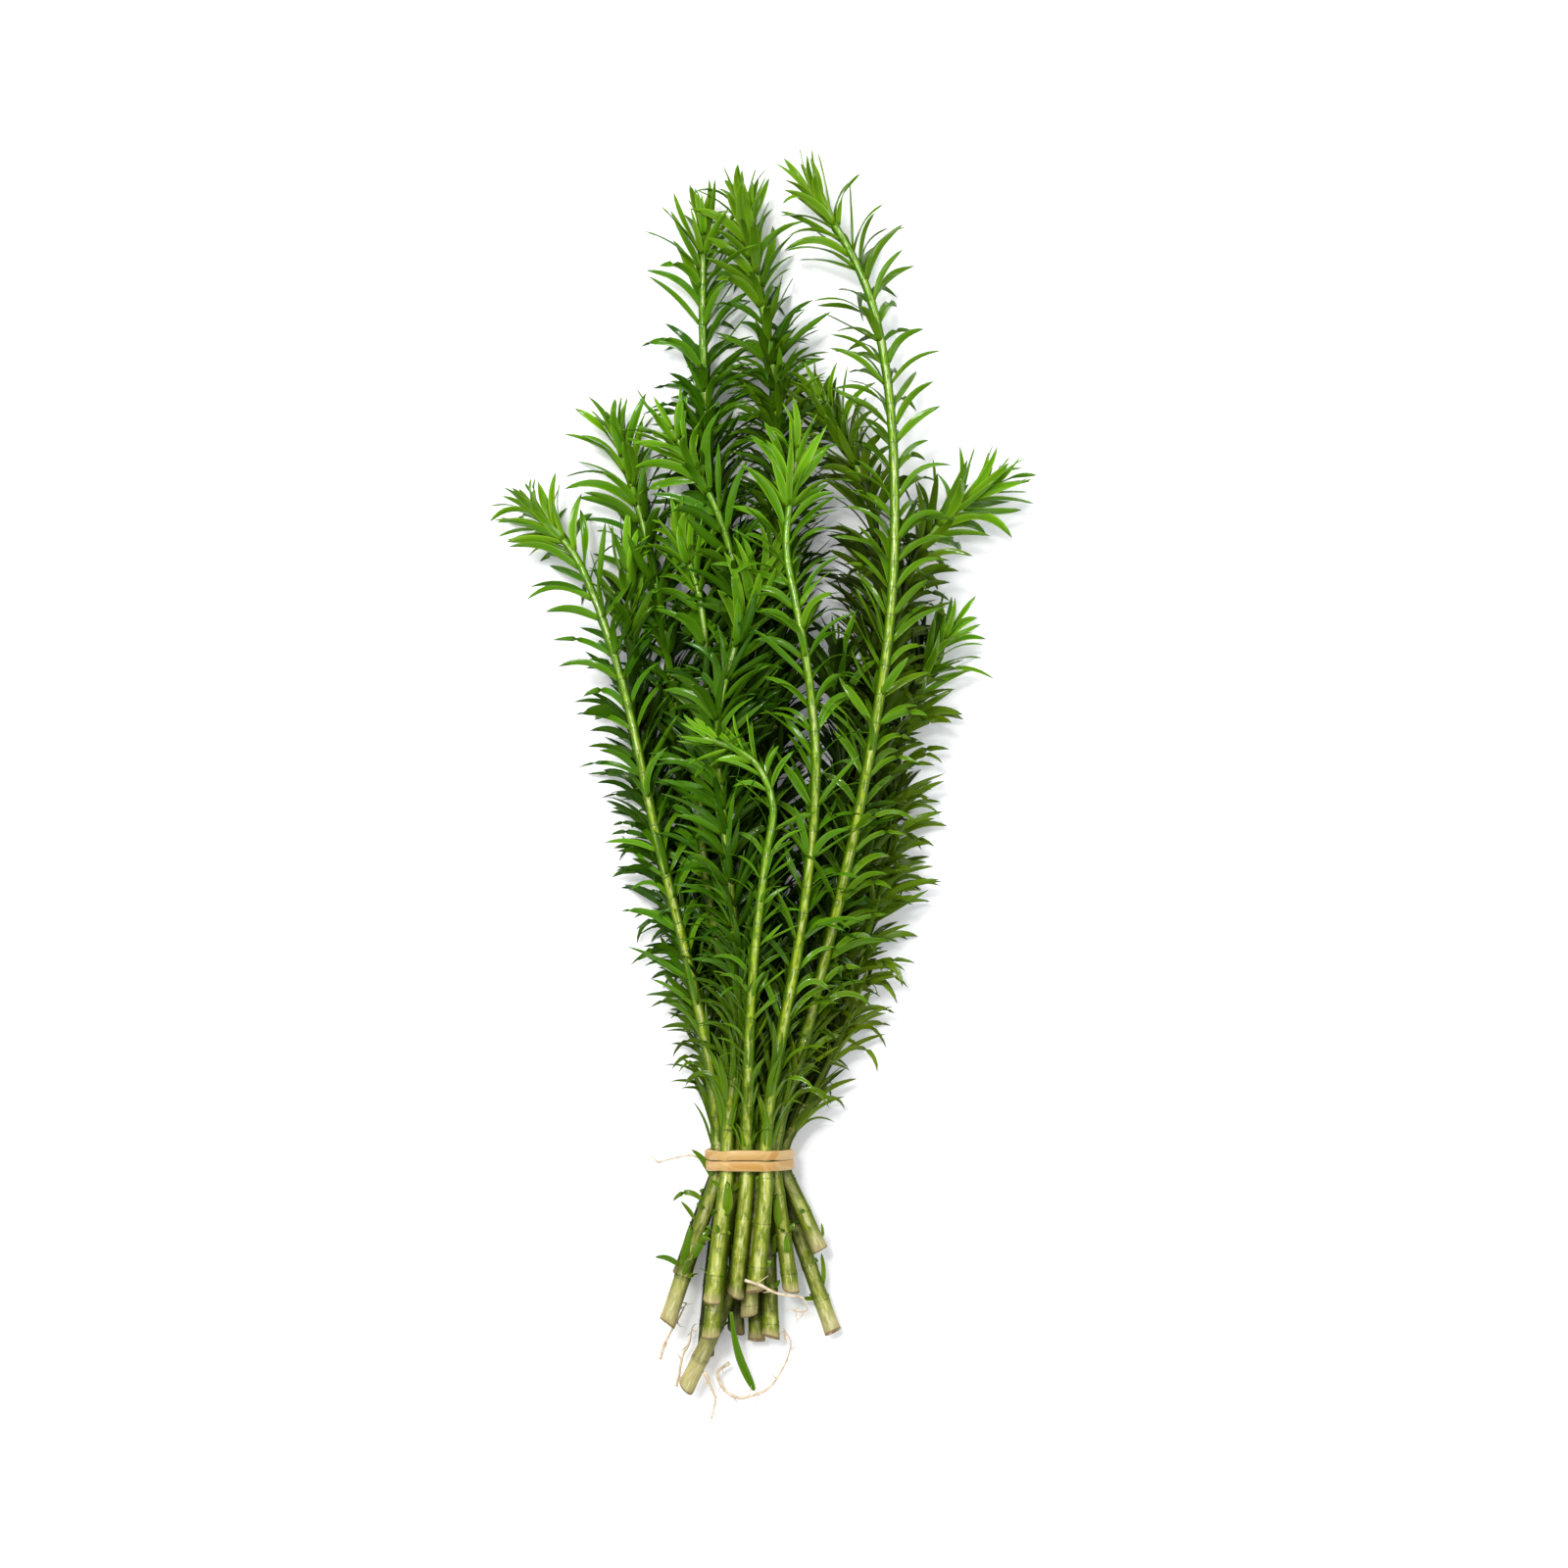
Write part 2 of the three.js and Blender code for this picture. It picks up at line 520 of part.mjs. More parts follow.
routes.forEach(({ points, radii }, k) => {
  add(numbered("stem", k), rod(points, radii, STEM_SIDES, true), stemGreen);
});
routes.forEach((route, k) => add(numbered("leaves", k), foliage(route, k, stems, obstacles), leafGreen));
add("rubber_band", rubberBand(CUTTINGS.map(({ slot }) => slotPlace(slot))), latexTan);

const inTheWay = [...stems];
ROOTS.forEach((root, k) => {
  const points = looseLine(root, routes, ROOT_D / 2, inTheWay);
  add(numbered("root", k), rod(points, points.map(() => ROOT_D / 2), ROOT_SIDES, false), rootCream);
});
add("stray_leaf", blade(looseLine(STRAY_LEAF, routes, STRAY_LEAF_WIDTH / 2, inTheWay)), leafGreen);

// The origin is under the middle of the whole bunch, on the surface that it lies on.
const extent = new THREE.Box3().setFromObject(bunch);
const centre = extent.getCenter(new THREE.Vector3());
bunch.position.set(-centre.x, -centre.y, -extent.min.z);

export default bunch;
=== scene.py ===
# %% [markdown]
# # A tied bunch of ambulia, lying on its side
# Fifteen cuttings of a water plant, each a stem with rings of narrow leaves, held by a rubber band
# that is wound twice round their bare ends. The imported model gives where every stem, root and the
# band lie. This lesson gives each of them its living shape and its finish, in metres, in that frame.

# %% Tools and the frame
import math

import bpy
import numpy as np
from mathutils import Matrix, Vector
from mathutils.kdtree import KDTree


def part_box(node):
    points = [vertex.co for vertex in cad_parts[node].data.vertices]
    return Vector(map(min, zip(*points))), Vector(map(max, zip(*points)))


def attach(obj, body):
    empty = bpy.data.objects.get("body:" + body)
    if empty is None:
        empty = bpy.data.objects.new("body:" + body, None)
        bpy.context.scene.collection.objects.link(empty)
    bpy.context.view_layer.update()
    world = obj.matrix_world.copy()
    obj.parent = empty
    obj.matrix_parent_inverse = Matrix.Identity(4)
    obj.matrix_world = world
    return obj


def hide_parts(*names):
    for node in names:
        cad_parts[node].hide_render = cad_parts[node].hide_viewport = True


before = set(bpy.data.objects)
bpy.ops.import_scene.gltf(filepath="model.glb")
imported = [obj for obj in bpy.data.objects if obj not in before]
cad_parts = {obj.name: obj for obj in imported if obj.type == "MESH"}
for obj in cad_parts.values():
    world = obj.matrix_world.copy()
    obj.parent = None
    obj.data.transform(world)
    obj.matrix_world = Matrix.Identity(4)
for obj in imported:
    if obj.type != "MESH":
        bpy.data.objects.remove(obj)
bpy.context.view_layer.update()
MM = 0.001
chance = np.random.default_rng(20)

# %% [markdown]
# ## The camera
# The bunch lies on a pale table, and the camera looks straight down on it. A long lens keeps the far
# ends of the shoots from spreading. The tie is the one place that the frame fixes exactly, so the
# camera is aimed from it: a little to the right of it, and about a hand's width up the stems.

# %% Camera
band_low, band_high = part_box("rubber_band")
tie = (band_low + band_high) / 2
VIEW_WIDTH = 288 * MM
LENS, SENSOR = 85, 36
MIDDLE_OF_VIEW = Vector((6.1 * MM, 69.5 * MM, 0))
MEAN_HEIGHT = 18 * MM


def add_object(name, data):
    """An object in the scene that shows this camera, mesh or lamp."""
    made = bpy.data.objects.new(name, data)
    bpy.context.scene.collection.objects.link(made)
    return made


camera = add_object("camera", bpy.data.cameras.new("camera"))
camera.data.lens = LENS
camera.data.sensor_width = SENSOR
camera.data.clip_start = 0.01
height = VIEW_WIDTH * LENS / SENSOR
camera.location = (tie.x + MIDDLE_OF_VIEW.x, tie.y + MIDDLE_OF_VIEW.y, MEAN_HEIGHT + height)
bpy.context.scene.camera = camera
print("the camera hangs", round(camera.location.z, 3), "m over the table")

# %% [markdown]
# ## Shader maths as Python
# A finish is easier to read as an expression than as a web of nodes. A Value wraps one socket, and
# adding or multiplying Values puts the Math nodes in. Colours are mixed by a Mix node, because a Math
# node would turn them grey. Every other node comes from one method, Finish.node.


# %% Values and finishes
class Value:
    """A number, colour or vector that varies over a surface, as a node's output socket."""

    def __init__(self, finish, socket):
        self.finish = finish
        self.socket = socket

    def maths(self, operation, *others, clamp=False):
        settings = {"operation": operation, "use_clamp": clamp}
        return self.finish.node("ShaderNodeMath", settings, {0: self, **dict(enumerate(others, 1))})

    def __add__(self, other):
        return self.maths("ADD", other)

    def __sub__(self, other):
        return self.maths("SUBTRACT", other)

    def __rsub__(self, other):
        return self.finish.node("ShaderNodeMath", {"operation": "SUBTRACT"}, {0: other, 1: self})

    def __mul__(self, other):
        return self.maths("MULTIPLY", other)

    __radd__ = __add__
    __rmul__ = __mul__

    def between(self, low, high):
        """0 below low, 1 above high, and a smooth step from one to the other."""
        settings = {"interpolation_type": "SMOOTHSTEP"}
        return self.finish.node("ShaderNodeMapRange", settings, {"Value": self, 1: low, 2: high})

    def mix(self, one, other):
        """A colour: one where this number is 0, other where it is 1."""
        colours = [(*c, 1) if isinstance(c, tuple) else c for c in (one, other)]
        inputs = {0: self, 6: colours[0], 7: colours[1]}
        return self.finish.node("ShaderNodeMix", {"data_type": "RGBA"}, inputs, output=2)

    def dim(self, share):
        """This colour made darker or lighter by a number."""
        settings = {"data_type": "RGBA", "blend_type": "MULTIPLY"}
        grey = self.finish.node("ShaderNodeCombineColor", {}, {0: share, 1: share, 2: share})
        return self.finish.node("ShaderNodeMix", settings, {0: 1.0, 6: self, 7: grey}, output=2)

    def parts(self):
        """The three numbers of this vector."""
        made = self.finish.node("ShaderNodeSeparateXYZ", {}, {0: self}).socket.node
        return [Value(self.finish, socket) for socket in made.outputs]

    def noise(self, scale, detail=3.0, roughness=0.5, stretch=None):
        """Noise over this vector, whose three numbers are first multiplied by stretch."""
        place = self
        if stretch:
            settings = {"operation": "MULTIPLY"}
            place = self.finish.node("ShaderNodeVectorMath", settings, {0: self, 1: stretch})
        inputs = {"Vector": place, "Scale": scale, "Detail": detail, "Roughness": roughness}
        return self.finish.node("ShaderNodeTexNoise", {}, inputs)

    def bump(self, distance, strength=1.0):
        """A normal that is tilted as if this number were a height."""
        inputs = {"Height": self, "Distance": distance, "Strength": strength}
        return self.finish.node("ShaderNodeBump", {}, inputs)


class Finish:
    """One material: a Principled shader, and the nodes that are added for it."""

    def __init__(self, name, **constants):
        self.material = bpy.data.materials.new(name)
        self.material.use_nodes = True
        self.tree = self.material.node_tree
        self.shader = self.tree.nodes["Principled BSDF"]
        for socket, value in constants.items():
            self.shader.inputs[socket.replace("_", " ")].default_value = value

    def node(self, kind, settings=None, inputs=None, output=0):
        made = self.tree.nodes.new(kind)
        for name, value in (settings or {}).items():
            setattr(made, name, value)
        for name, value in (inputs or {}).items():
            if isinstance(value, Value):
                self.tree.links.new(value.socket, made.inputs[name])
            else:
                made.inputs[name].default_value = value
        return Value(self, made.outputs[output])

    def attribute(self, name, output="Fac"):
        return self.node("ShaderNodeAttribute", {"attribute_name": name}, output=output)

    def set(self, **links):
        for socket, value in links.items():
            self.tree.links.new(value.socket, self.shader.inputs[socket.replace("_", " ")])


print("values and finishes are ready")

# %% [markdown]
# ## Where the stems and roots lie
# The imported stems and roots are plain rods: rings of corners, closed at both ends by a fan to one
# point. Only the ring next to an end has corners with five neighbours, so the two end points are the
# corners whose neighbours all have five. Walking from one end point to the other, a step at a time,
# meets the rings in order, and the middle of each ring is a point of the centreline.


# %% Centrelines
TAIL_REACH = 1.035
# how high over the table surfaces stay: those of stems and threads, of the band, and of leaves
ROD_GAP, BAND_GAP, LEAF_GAP = 0.02 * MM, 0.03 * MM, 0.06 * MM
# and how high the centrelines of leaves and roots stay
LINE_GAP = 0.3 * MM


def rings_of(node):
    """The middle and the radius of each ring of a packed rod, from one end to the other."""
    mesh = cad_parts[node].data
    places = np.array([v.co for v in mesh.vertices])
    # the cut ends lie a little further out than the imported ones, whose corners are cut square
    below = places[:, 1] - tie.y
    places[:, 1] = tie.y + np.where(below < 0, below * TAIL_REACH, below)
    _, first, corner = np.unique(
        np.round(places / (0.001 * MM)), axis=0, return_index=True, return_inverse=True
    )
    places = places[first]
    corner = corner.reshape(-1)
    beside = [set() for _ in places]
    for edge in mesh.edges:
        a, b = corner[edge.vertices[0]], corner[edge.vertices[1]]
        beside[a].add(b)
        beside[b].add(a)
    ends = [k for k, near in enumerate(beside) if all(len(beside[n]) == 5 for n in near)]
    level, seen, middles, radii = {ends[0]}, {ends[0]}, [], []
    while level:
        level = {n for k in level for n in beside[k]} - seen
        seen |= level
        if len(level) > 1:
            ring = places[list(level)]
            middles.append(ring.mean(0))
            radii.append(np.linalg.norm(ring - ring.mean(0), axis=1).mean())
    return np.array(middles), np.array(radii), places[ends]


def unit(vectors):
    return vectors / np.linalg.norm(vectors, axis=-1, keepdims=True)


def columns(*values):
    return np.stack(values, axis=1)


def keep_above(points, gap):
    """Raises the points that are lower than a gap over the table."""
    points[..., 2] = np.maximum(points[..., 2], gap)


def angles_round(count):
    """Angles that share out a full turn evenly."""
    return np.arange(count) * 2 * math.pi / count


class Line:
    """A smooth line through points, with a place, directions and a radius every step along it."""

    def __init__(self, points, radii, step):
        ahead = np.vstack([points[1:] - points[:-1], points[-1:] - points[-2:-1]])
        behind = np.vstack([ahead[:1], ahead[:-1]])
        slopes = (ahead + behind) / 2
        share = np.linspace(0, 1, 16, endpoint=False)[:, None]
        rows = [
            (2 * share**3 - 3 * share**2 + 1) * points[k]
            + (share**3 - 2 * share**2 + share) * slopes[k]
            + (3 * share**2 - 2 * share**3) * points[k + 1]
            + (share**3 - share**2) * slopes[k + 1]
            for k in range(len(points) - 1)
        ]
        fine = np.vstack([*rows, points[-1:]])
        gone = np.concatenate([[0], np.cumsum(np.linalg.norm(np.diff(fine, axis=0), axis=1))])
        at_points = gone[np.arange(len(points)) * len(share)]
        self.length = gone[-1]
        self.distance = np.linspace(0, self.length, max(4, round(self.length / step)))
        self.points = np.column_stack([np.interp(self.distance, gone, fine[:, k]) for k in range(3)])
        self.radius = np.interp(self.distance, at_points, radii)
        self.along = unit(np.gradient(self.points, axis=0))
        across = unit(np.cross(self.along[0], (0, 0, 1.0)))
        self.across = np.empty_like(self.points)
        for k, along in enumerate(self.along):
            across = across - along * (across @ along)
            across = across / np.linalg.norm(across)
            self.across[k] = across
        self.up = np.cross(self.across, self.along)

    def at(self, values, distance):
        """Values along the line, at other distances."""
        if values.ndim == 1:
            return np.interp(distance, self.distance, values)
        return np.column_stack([np.interp(distance, self.distance, values[:, k]) for k in range(3)])

    def frame_at(self, distance):
        """Places on the line, and its directions across, up and along there."""
        return [self.at(v, distance) for v in (self.points, self.across, self.up, self.along)]


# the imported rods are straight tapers; a real stem is slimmer in its middle and flares at the cut
SLIM_AT = np.array([-45, -25, -8, 0, 30, 90, 150]) * MM
SLIM_BY = [1.0, 0.94, 0.87, 0.84, 0.77, 0.84, 1.0]
# one long tail bows to the right before it swings out to the left
BOWED, BOW = "14", 2.4 * MM

CUTTINGS = [f"{k:02d}" for k in range(1, 16)]
stems = {}
for name in CUTTINGS:
    middles, radii, ends = rings_of(f"stem_{name}")
    if radii[0] < radii[-1]:
        middles, radii, ends = middles[::-1], radii[::-1], ends[::-1]
    if name == BOWED:
        below = np.clip((tie.y - middles[:, 1]) / (tie.y - middles[0, 1]), 0, 1)
        middles[:, 0] += BOW * np.sin(below * math.pi)
    tip = max(ends, key=lambda end: np.linalg.norm(end - middles[0]))
    stems[name] = Line(np.vstack([middles, tip]), np.append(radii, radii[-1] * 0.4), 0.5 * MM)
    line = stems[name]
    line.radius = line.radius * np.interp(line.points[:, 1] - tie.y, SLIM_AT, SLIM_BY)
    line.tied_at = line.distance[np.argmin(np.abs(line.points[:, 1] - tie.y))]
print("the longest stem is", round(max(line.length for line in stems.values()) / MM), "mm long")

# %% [markdown]
# ## Which places lie deep in the bunch
# Leaves and stems that lie under others are darkened by painted shade. So the depth of a place under
# the highest stem near it is worked out, by two trees of all the places on the stems: one in space,
# which also tells the leaves what is in their way, and one seen from above.

# %% Depth in the bunch
spots = np.vstack([line.points for line in stems.values()])
sizes = np.concatenate([line.radius for line in stems.values()])
all_stems, in_plan = KDTree(len(spots)), KDTree(len(spots))
for index, spot in enumerate(spots):
    all_stems.insert(spot, index)
    in_plan.insert((spot[0], spot[1], 0), index)
all_stems.balance()
in_plan.balance()


def depth_below_top(points):
    """How far points lie under the highest stem near them."""
    tops = []
    for point in points:
        near = in_plan.find_range((point[0], point[1], 0), 6 * MM)
        tops.append(max([spots[index][2] for _, index, _ in near], default=point[2]))
    return np.array(tops) - points[:, 2]


for line in stems.values():
    line.sunk = depth_below_top(line.points)
print("the deepest stem lies", round(max(line.sunk.max() for line in stems.values()) / MM), "mm down")

# %% [markdown]
# ## Making one piece
# A piece is one closed mesh. Its finish reads numbers that were worked out while it was made, such as
# how far along its leaf each corner lies, and they are stored on the mesh as named attributes. The
# piece rides on the only body that the bunch has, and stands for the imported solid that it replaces.


# %% One piece
def make_piece(
    name, places, faces, finish, replaced=(), numbers=None, sharp=None, corner_map=None
):
    """One mesh object. sharp has a number for each corner: an edge between equal ones is sharp."""
    mesh = bpy.data.meshes.new(name)
    mesh.from_pydata(places.tolist(), [], faces)
    for label, values in (numbers or {}).items():
        kind, holder = ("FLOAT_VECTOR", "vector") if values.ndim == 2 else ("FLOAT", "value")
        field = mesh.attributes.new(label, kind, "POINT")
        field.data.foreach_set(holder, values.ravel().astype(np.float32))
    if sharp is not None:
        ends = np.empty(len(mesh.edges) * 2, np.int32)
        mesh.edges.foreach_get("vertices", ends)
        one, other = sharp[ends.reshape(-1, 2)].T
        field = mesh.attributes.new("sharp_edge", "BOOLEAN", "EDGE")
        field.data.foreach_set("value", (one == other) & (one >= 0))
    if corner_map is not None:
        layer = mesh.uv_layers.new(name="OFBake")
        layer.uv.foreach_set("vector", corner_map.ravel().astype(np.float32))
    mesh.shade_smooth()
    mesh.materials.append(finish.material)
    piece = add_object(name, mesh)
    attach(piece, "root")
    if replaced:
        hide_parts(*replaced)
    return piece


def tube(rings, caps=True):
    """The faces of a closed tube. rings has one row of corners for each ring."""
    after = np.roll(rings, -1, axis=1)
    faces = np.stack([rings[:-1], after[:-1], after[1:], rings[1:]], axis=-1).reshape(-1, 4).tolist()
    return faces + [rings[0][::-1].tolist(), rings[-1].tolist()] if caps else faces


def fan(ring, end):
    """The faces from a ring of corners to the one corner that closes it."""
    return np.stack([ring, np.roll(ring, -1), np.full(len(ring), end)], axis=-1)


def round_and_along(angle, travelled):
    """How each corner of a tube lies round it, as a cosine and a sine, and how far along it."""
    count = len(travelled)
    around = [np.tile(np.cos(angle), count), np.tile(np.sin(angle), count)]
    return columns(*around, np.repeat(travelled, len(angle)))


print("pieces can be made")

# %% [markdown]
# ## The stems' finish
# A live stem is smooth and wet. It is bright yellow-green near its tip and turns olive towards the
# cut end, where the skin is rubbed and bleached to a woody cream. Each ring of leaves leaves a dark
# line round the stem. Its upper side has a painted highlight: a broken streak of light green, with
# pale painted glints on it and, low on the stem, pale painted specks. Stems deep in the bunch get
# painted shade. Fine fibres run along a stem, so the noise that draws them is squeezed round the stem
# and stretched along it.

# %% Stem finish
stem_finish = Finish("wet_green_stem", Specular_IOR_Level=0.08, Coat_Roughness=0.17)
skin = stem_finish.attribute("skin", "Vector")
_, upward, _ = skin.parts()
age, ring_line, bleached, cut_face, buried, rim = (
    stem_finish.attribute(name) for name in ("age", "ring_line", "bleached", "cut_face", "buried", "rim")
)
fibres = skin.noise(9.0, 4.0, stretch=(1.0, 1.0, 0.12))
blotches = skin.noise(2.6, 5.0, 0.6, stretch=(1.0, 1.0, 0.5))
# the upper side of a stem is painted lighter: a painted highlight, broken up by noise
lit_top = upward.between(0.6, 1.0)
broken = skin.noise(2.6, 4.0, stretch=(0.7, 0.7, 0.6)).between(0.38, 0.6)
painted_highlight = lit_top * (broken * 0.75 + 0.25)
fresh = age.between(0.0, 0.6).mix((0.040, 0.135, 0.001), (0.058, 0.130, 0.001))
fresh_highlight = age.between(0.0, 0.6).mix((0.150, 0.330, 0.006), (0.310, 0.400, 0.016))
olive = blotches.between(0.35, 0.65).mix((0.078, 0.130, 0.002), (0.140, 0.182, 0.006))
olive_highlight = blotches.between(0.35, 0.65).mix((0.290, 0.350, 0.022), (0.500, 0.500, 0.130))
green = age.between(0.68, 0.9).mix(fresh, olive)
lit_green = age.between(0.68, 0.9).mix(fresh_highlight, olive_highlight)
green = painted_highlight.mix(green, lit_green)
green = green.dim(fibres * 0.7 + 0.65)
cream = fibres.between(0.3, 0.7).mix((0.33, 0.28, 0.10), (0.52, 0.47, 0.22))
rind = bleached.mix(green, cream)
worn_line = ring_line * skin.noise(1.1, 2.0).between(0.32, 0.62)
ringed = (worn_line * 0.55).mix(rind, (0.026, 0.045, 0.002))
# pale specks on the upper side of the old stems: painted highlight
spot_highlights = skin.noise(5.0, 2.0).between(0.58, 0.68) * age.between(0.6, 0.9) * lit_top
ringed = (spot_highlights * 0.6).mix(ringed, (0.42, 0.40, 0.20))
# pale patches along the very top of a stem: painted glints, a painted highlight
glint_breakup = skin.noise(3.6, 3.0, stretch=(1.0, 1.0, 0.4)).between(0.5, 0.62)
painted_glints = upward.between(0.86, 1.0) * glint_breakup
ringed = (painted_glints * 0.6).mix(ringed, (0.66, 0.68, 0.34))
# stems deep in the bunch are darkened: painted shade
ringed = ringed.dim(1 - buried * 0.85)
ringed = (rim * 0.85).mix(ringed, (0.15, 0.075, 0.028))
pith = blotches.between(0.35, 0.6).mix((0.56, 0.44, 0.25), (0.30, 0.18, 0.08))
wet = skin.noise(2.2, 3.0, stretch=(0.5, 0.5, 1.0)).between(0.38, 0.55)
stem_finish.set(
    Base_Color=cut_face.mix(ringed, pith),
    Roughness=fibres * 0.3 + bleached * 0.2 + 0.35,
    Coat_Weight=wet * lit_top * (1 - cut_face) * (1 - buried) * 0.8,
    Normal=fibres.bump(0.06 * MM, 0.5),
)
print("the stem finish has", len(stem_finish.tree.nodes), "nodes")

# %% [markdown]
# ## Where the leaves join
# Leaves grow in rings. The rings crowd together at the growing tip and stand about five millimetres
# apart lower down. Both the stem, which has a line at each ring, and its leaves need these places, so
# they are chosen once for each cutting.


# %% Rings of leaves
def ring_places(line):
    """Distances along a stem, from its cut end, at which it has a ring of leaves."""
    places, from_tip = [], 1.5 * MM
    while from_tip < line.length - 2 * MM:
        places.append(line.length - from_tip)
        gap = np.interp(from_tip / MM, [0, 8, 30, 90], [2.1, 2.9, 4.2, 5.0])
        if line.length - from_tip < line.tied_at:
            gap = 7.5
        from_tip += gap * chance.uniform(0.82, 1.18) * MM
    return np.array(places[::-1])


for line in stems.values():
    line.rings = ring_places(line)
print("the stems have", sum(len(line.rings) for line in stems.values()), "rings of leaves")

# %% [markdown]
# ## The stems
# A stem swells a little at each ring and is pinched at the line itself, and it isn't quite round. So
# the tube gets extra rings of corners near those places and few between them. The cut end is a face
# of its own: a slanted cut with a raised rim and a sunken middle, where the soft pith has dried.

# %% Stems
STEM_SIDES = 14
BLEACHED_LENGTH = {"05": 9, "14": 14, "07": 6, "15": 4, "12": 3.5}
USUAL_BLEACH = 1.6


def stem_stations(line):
    """Distances at which a stem gets a ring of corners: close together at its rings of leaves."""
    near = np.array([-0.9, -0.5, -0.25, -0.1, 0, 0.1, 0.25, 0.5, 0.9]) * MM
    wanted = [np.arange(0.4 * MM, line.length, 1.6 * MM), (line.rings[:, None] + near).ravel()]
    ordered = np.unique(np.clip(np.concatenate(wanted), 0.3 * MM, line.length - 0.3 * MM))
    return ordered[np.concatenate([[True], np.diff(ordered) > 0.04 * MM])]


def build_stem(name, line):
    """One stem, grown on its line from the cut end to the tip."""
    along = stem_stations(line)
    to_ring = np.abs(along[:, None] - line.rings).min(1) / MM
    swell = 1 + 0.09 * np.exp(-((to_ring / 0.7) ** 2)) - 0.08 * np.exp(-((to_ring / 0.13) ** 2))
    swell = swell * (1 + 0.1 * np.exp(-along / (0.9 * MM)))
    lean = chance.uniform(-0.35, 0.35, 2)
    # the cut end: rim, dish and middle, each as (share of the radius, how deep it lies)
    cut = [(0.38, 0.34), (0.66, 0.27), (0.88, 0.06), (1.04, 0.0)]
    cut_depth = np.array([depth for _, depth in cut]) * MM
    distance = np.concatenate([cut_depth, along, [line.length]])
    size = np.concatenate([[share for share, _ in cut], swell, [0.25]]) * line.at(line.radius, distance)
    angle = angles_round(STEM_SIDES)
    oval = 1 + 0.035 * np.cos(2 * angle + chance.uniform(0, 6)) * np.sin(distance[:, None] / (7 * MM))
    slant = np.exp(-distance / (1.5 * MM))[:, None] * (lean[0] * np.cos(angle) + lean[1] * np.sin(angle))
    middle, side, up, ahead = (v[:, None] for v in line.frame_at(distance))
    round_it = side * np.cos(angle)[:, None] + up * np.sin(angle)[:, None]
    size = size[:, None]
    places = middle + round_it * (size * oval)[..., None] + ahead * (slant * size)[..., None]
    corners = np.arange(places.shape[0] * STEM_SIDES).reshape(-1, STEM_SIDES)
    below_tie = np.clip((line.tied_at - distance) / (25 * MM), 0, 1)
    from_tip = np.clip((line.length - distance) / (line.length - line.tied_at), 0, 1)
    bleach = BLEACHED_LENGTH.get(name, USUAL_BLEACH) * MM
    ring_line = np.exp(-((np.abs(distance[:, None] - line.rings).min(1) / (0.16 * MM)) ** 2))
    sunk = line.at(line.sunk, distance) / MM
    at_ring = {
        "age": 0.8 * from_tip + 0.2 * below_tie,
        "ring_line": ring_line * (distance > 1 * MM),
        "bleached": np.clip(1.25 - distance / bleach, 0, 1),
        # how much painted shade a stem gets, from its depth in the bunch
        "buried": np.clip((sunk - 2) / 8, 0, 1),
        "rim": np.exp(-((distance / (0.35 * MM)) ** 2)),
        "cut_face": (np.arange(len(distance)) < len(cut) - 1).astype(float),
    }
    numbers = {"skin": round_and_along(angle, distance / (3 * MM) + int(name) * 10)}
    numbers |= {label: np.repeat(values, STEM_SIDES) for label, values in at_ring.items()}
    places = places.reshape(-1, 3)
    keep_above(places, ROD_GAP)
    return make_piece(
        f"stem_{name}_grown", places, tube(corners), stem_finish, [f"stem_{name}"], numbers
    )


grown_stems = [build_stem(name, line) for name, line in stems.items()]
print("grew", len(grown_stems), "stems with", sum(len(p.data.polygons) for p in grown_stems), "faces")

# %% [markdown]
# ## The leaves' finish
# A leaf is thin, wet and glossy, with a pale midrib, a paler base and underside, and now and then a
# brown tip. Young leaves are yellow-green and old ones are dark. Each leaf has its own tone, or the
# bunch would look like one plastic mould.

# %% Leaf finish
leaf_finish = Finish("wet_leaf", Specular_IOR_Level=0.05, Coat_Roughness=0.14)
blade = leaf_finish.attribute("blade", "Vector")
across, lengthwise, luck = blade.parts()
tone, olive_share, underside, buried = (
    leaf_finish.attribute(name) for name in ("tone", "olive", "underside", "buried")
)
veins = blade.noise(2.0, 3.0, stretch=(5.0, 1.2, 40.0))
old_green = luck.mix((0.015, 0.076, 0.0006), (0.042, 0.150, 0.0012))
young_green = luck.mix((0.080, 0.265, 0.0014), (0.160, 0.385, 0.0050))
living = tone.mix(old_green, young_green)
living = olive_share.mix(living, (0.115, 0.180, 0.0030))
living = living.dim(veins * 0.8 + 0.6)
midrib = 1 - across.maths("ABSOLUTE").between(0.03, 0.2)
margin = across.maths("ABSOLUTE").between(0.55, 1.0)
living = (margin * tone * 0.5).mix(living, (0.36, 0.52, 0.045))
living = (midrib * 0.3).mix(living, (0.040, 0.130, 0.0020))
base_pale = 1 - lengthwise.between(0.0, 0.2)
living = (base_pale * 0.4).mix(living, (0.15, 0.28, 0.006))
living = (underside * 0.3).mix(living, (0.10, 0.22, 0.010))
# leaves deep in the bunch are darkened: painted shade
living = living.dim(1 - buried * 0.93)
browned = lengthwise.between(0.93, 1.0) * luck.between(0.35, 0.75)
wet_patch = blade.noise(1.6, 2.0, stretch=(1.0, 2.0, 60.0)).between(0.5, 0.6)
leaf_finish.set(
    Base_Color=(browned * 0.85).mix(living, (0.030, 0.018, 0.005)),
    Roughness=veins * 0.25 + 0.3,
    Coat_Weight=wet_patch * (0.95 - buried * 0.6),
    Normal=(veins - midrib * 0.8).bump(0.05 * MM, 0.6),
)
print("the leaf finish has", len(leaf_finish.tree.nodes), "nodes")

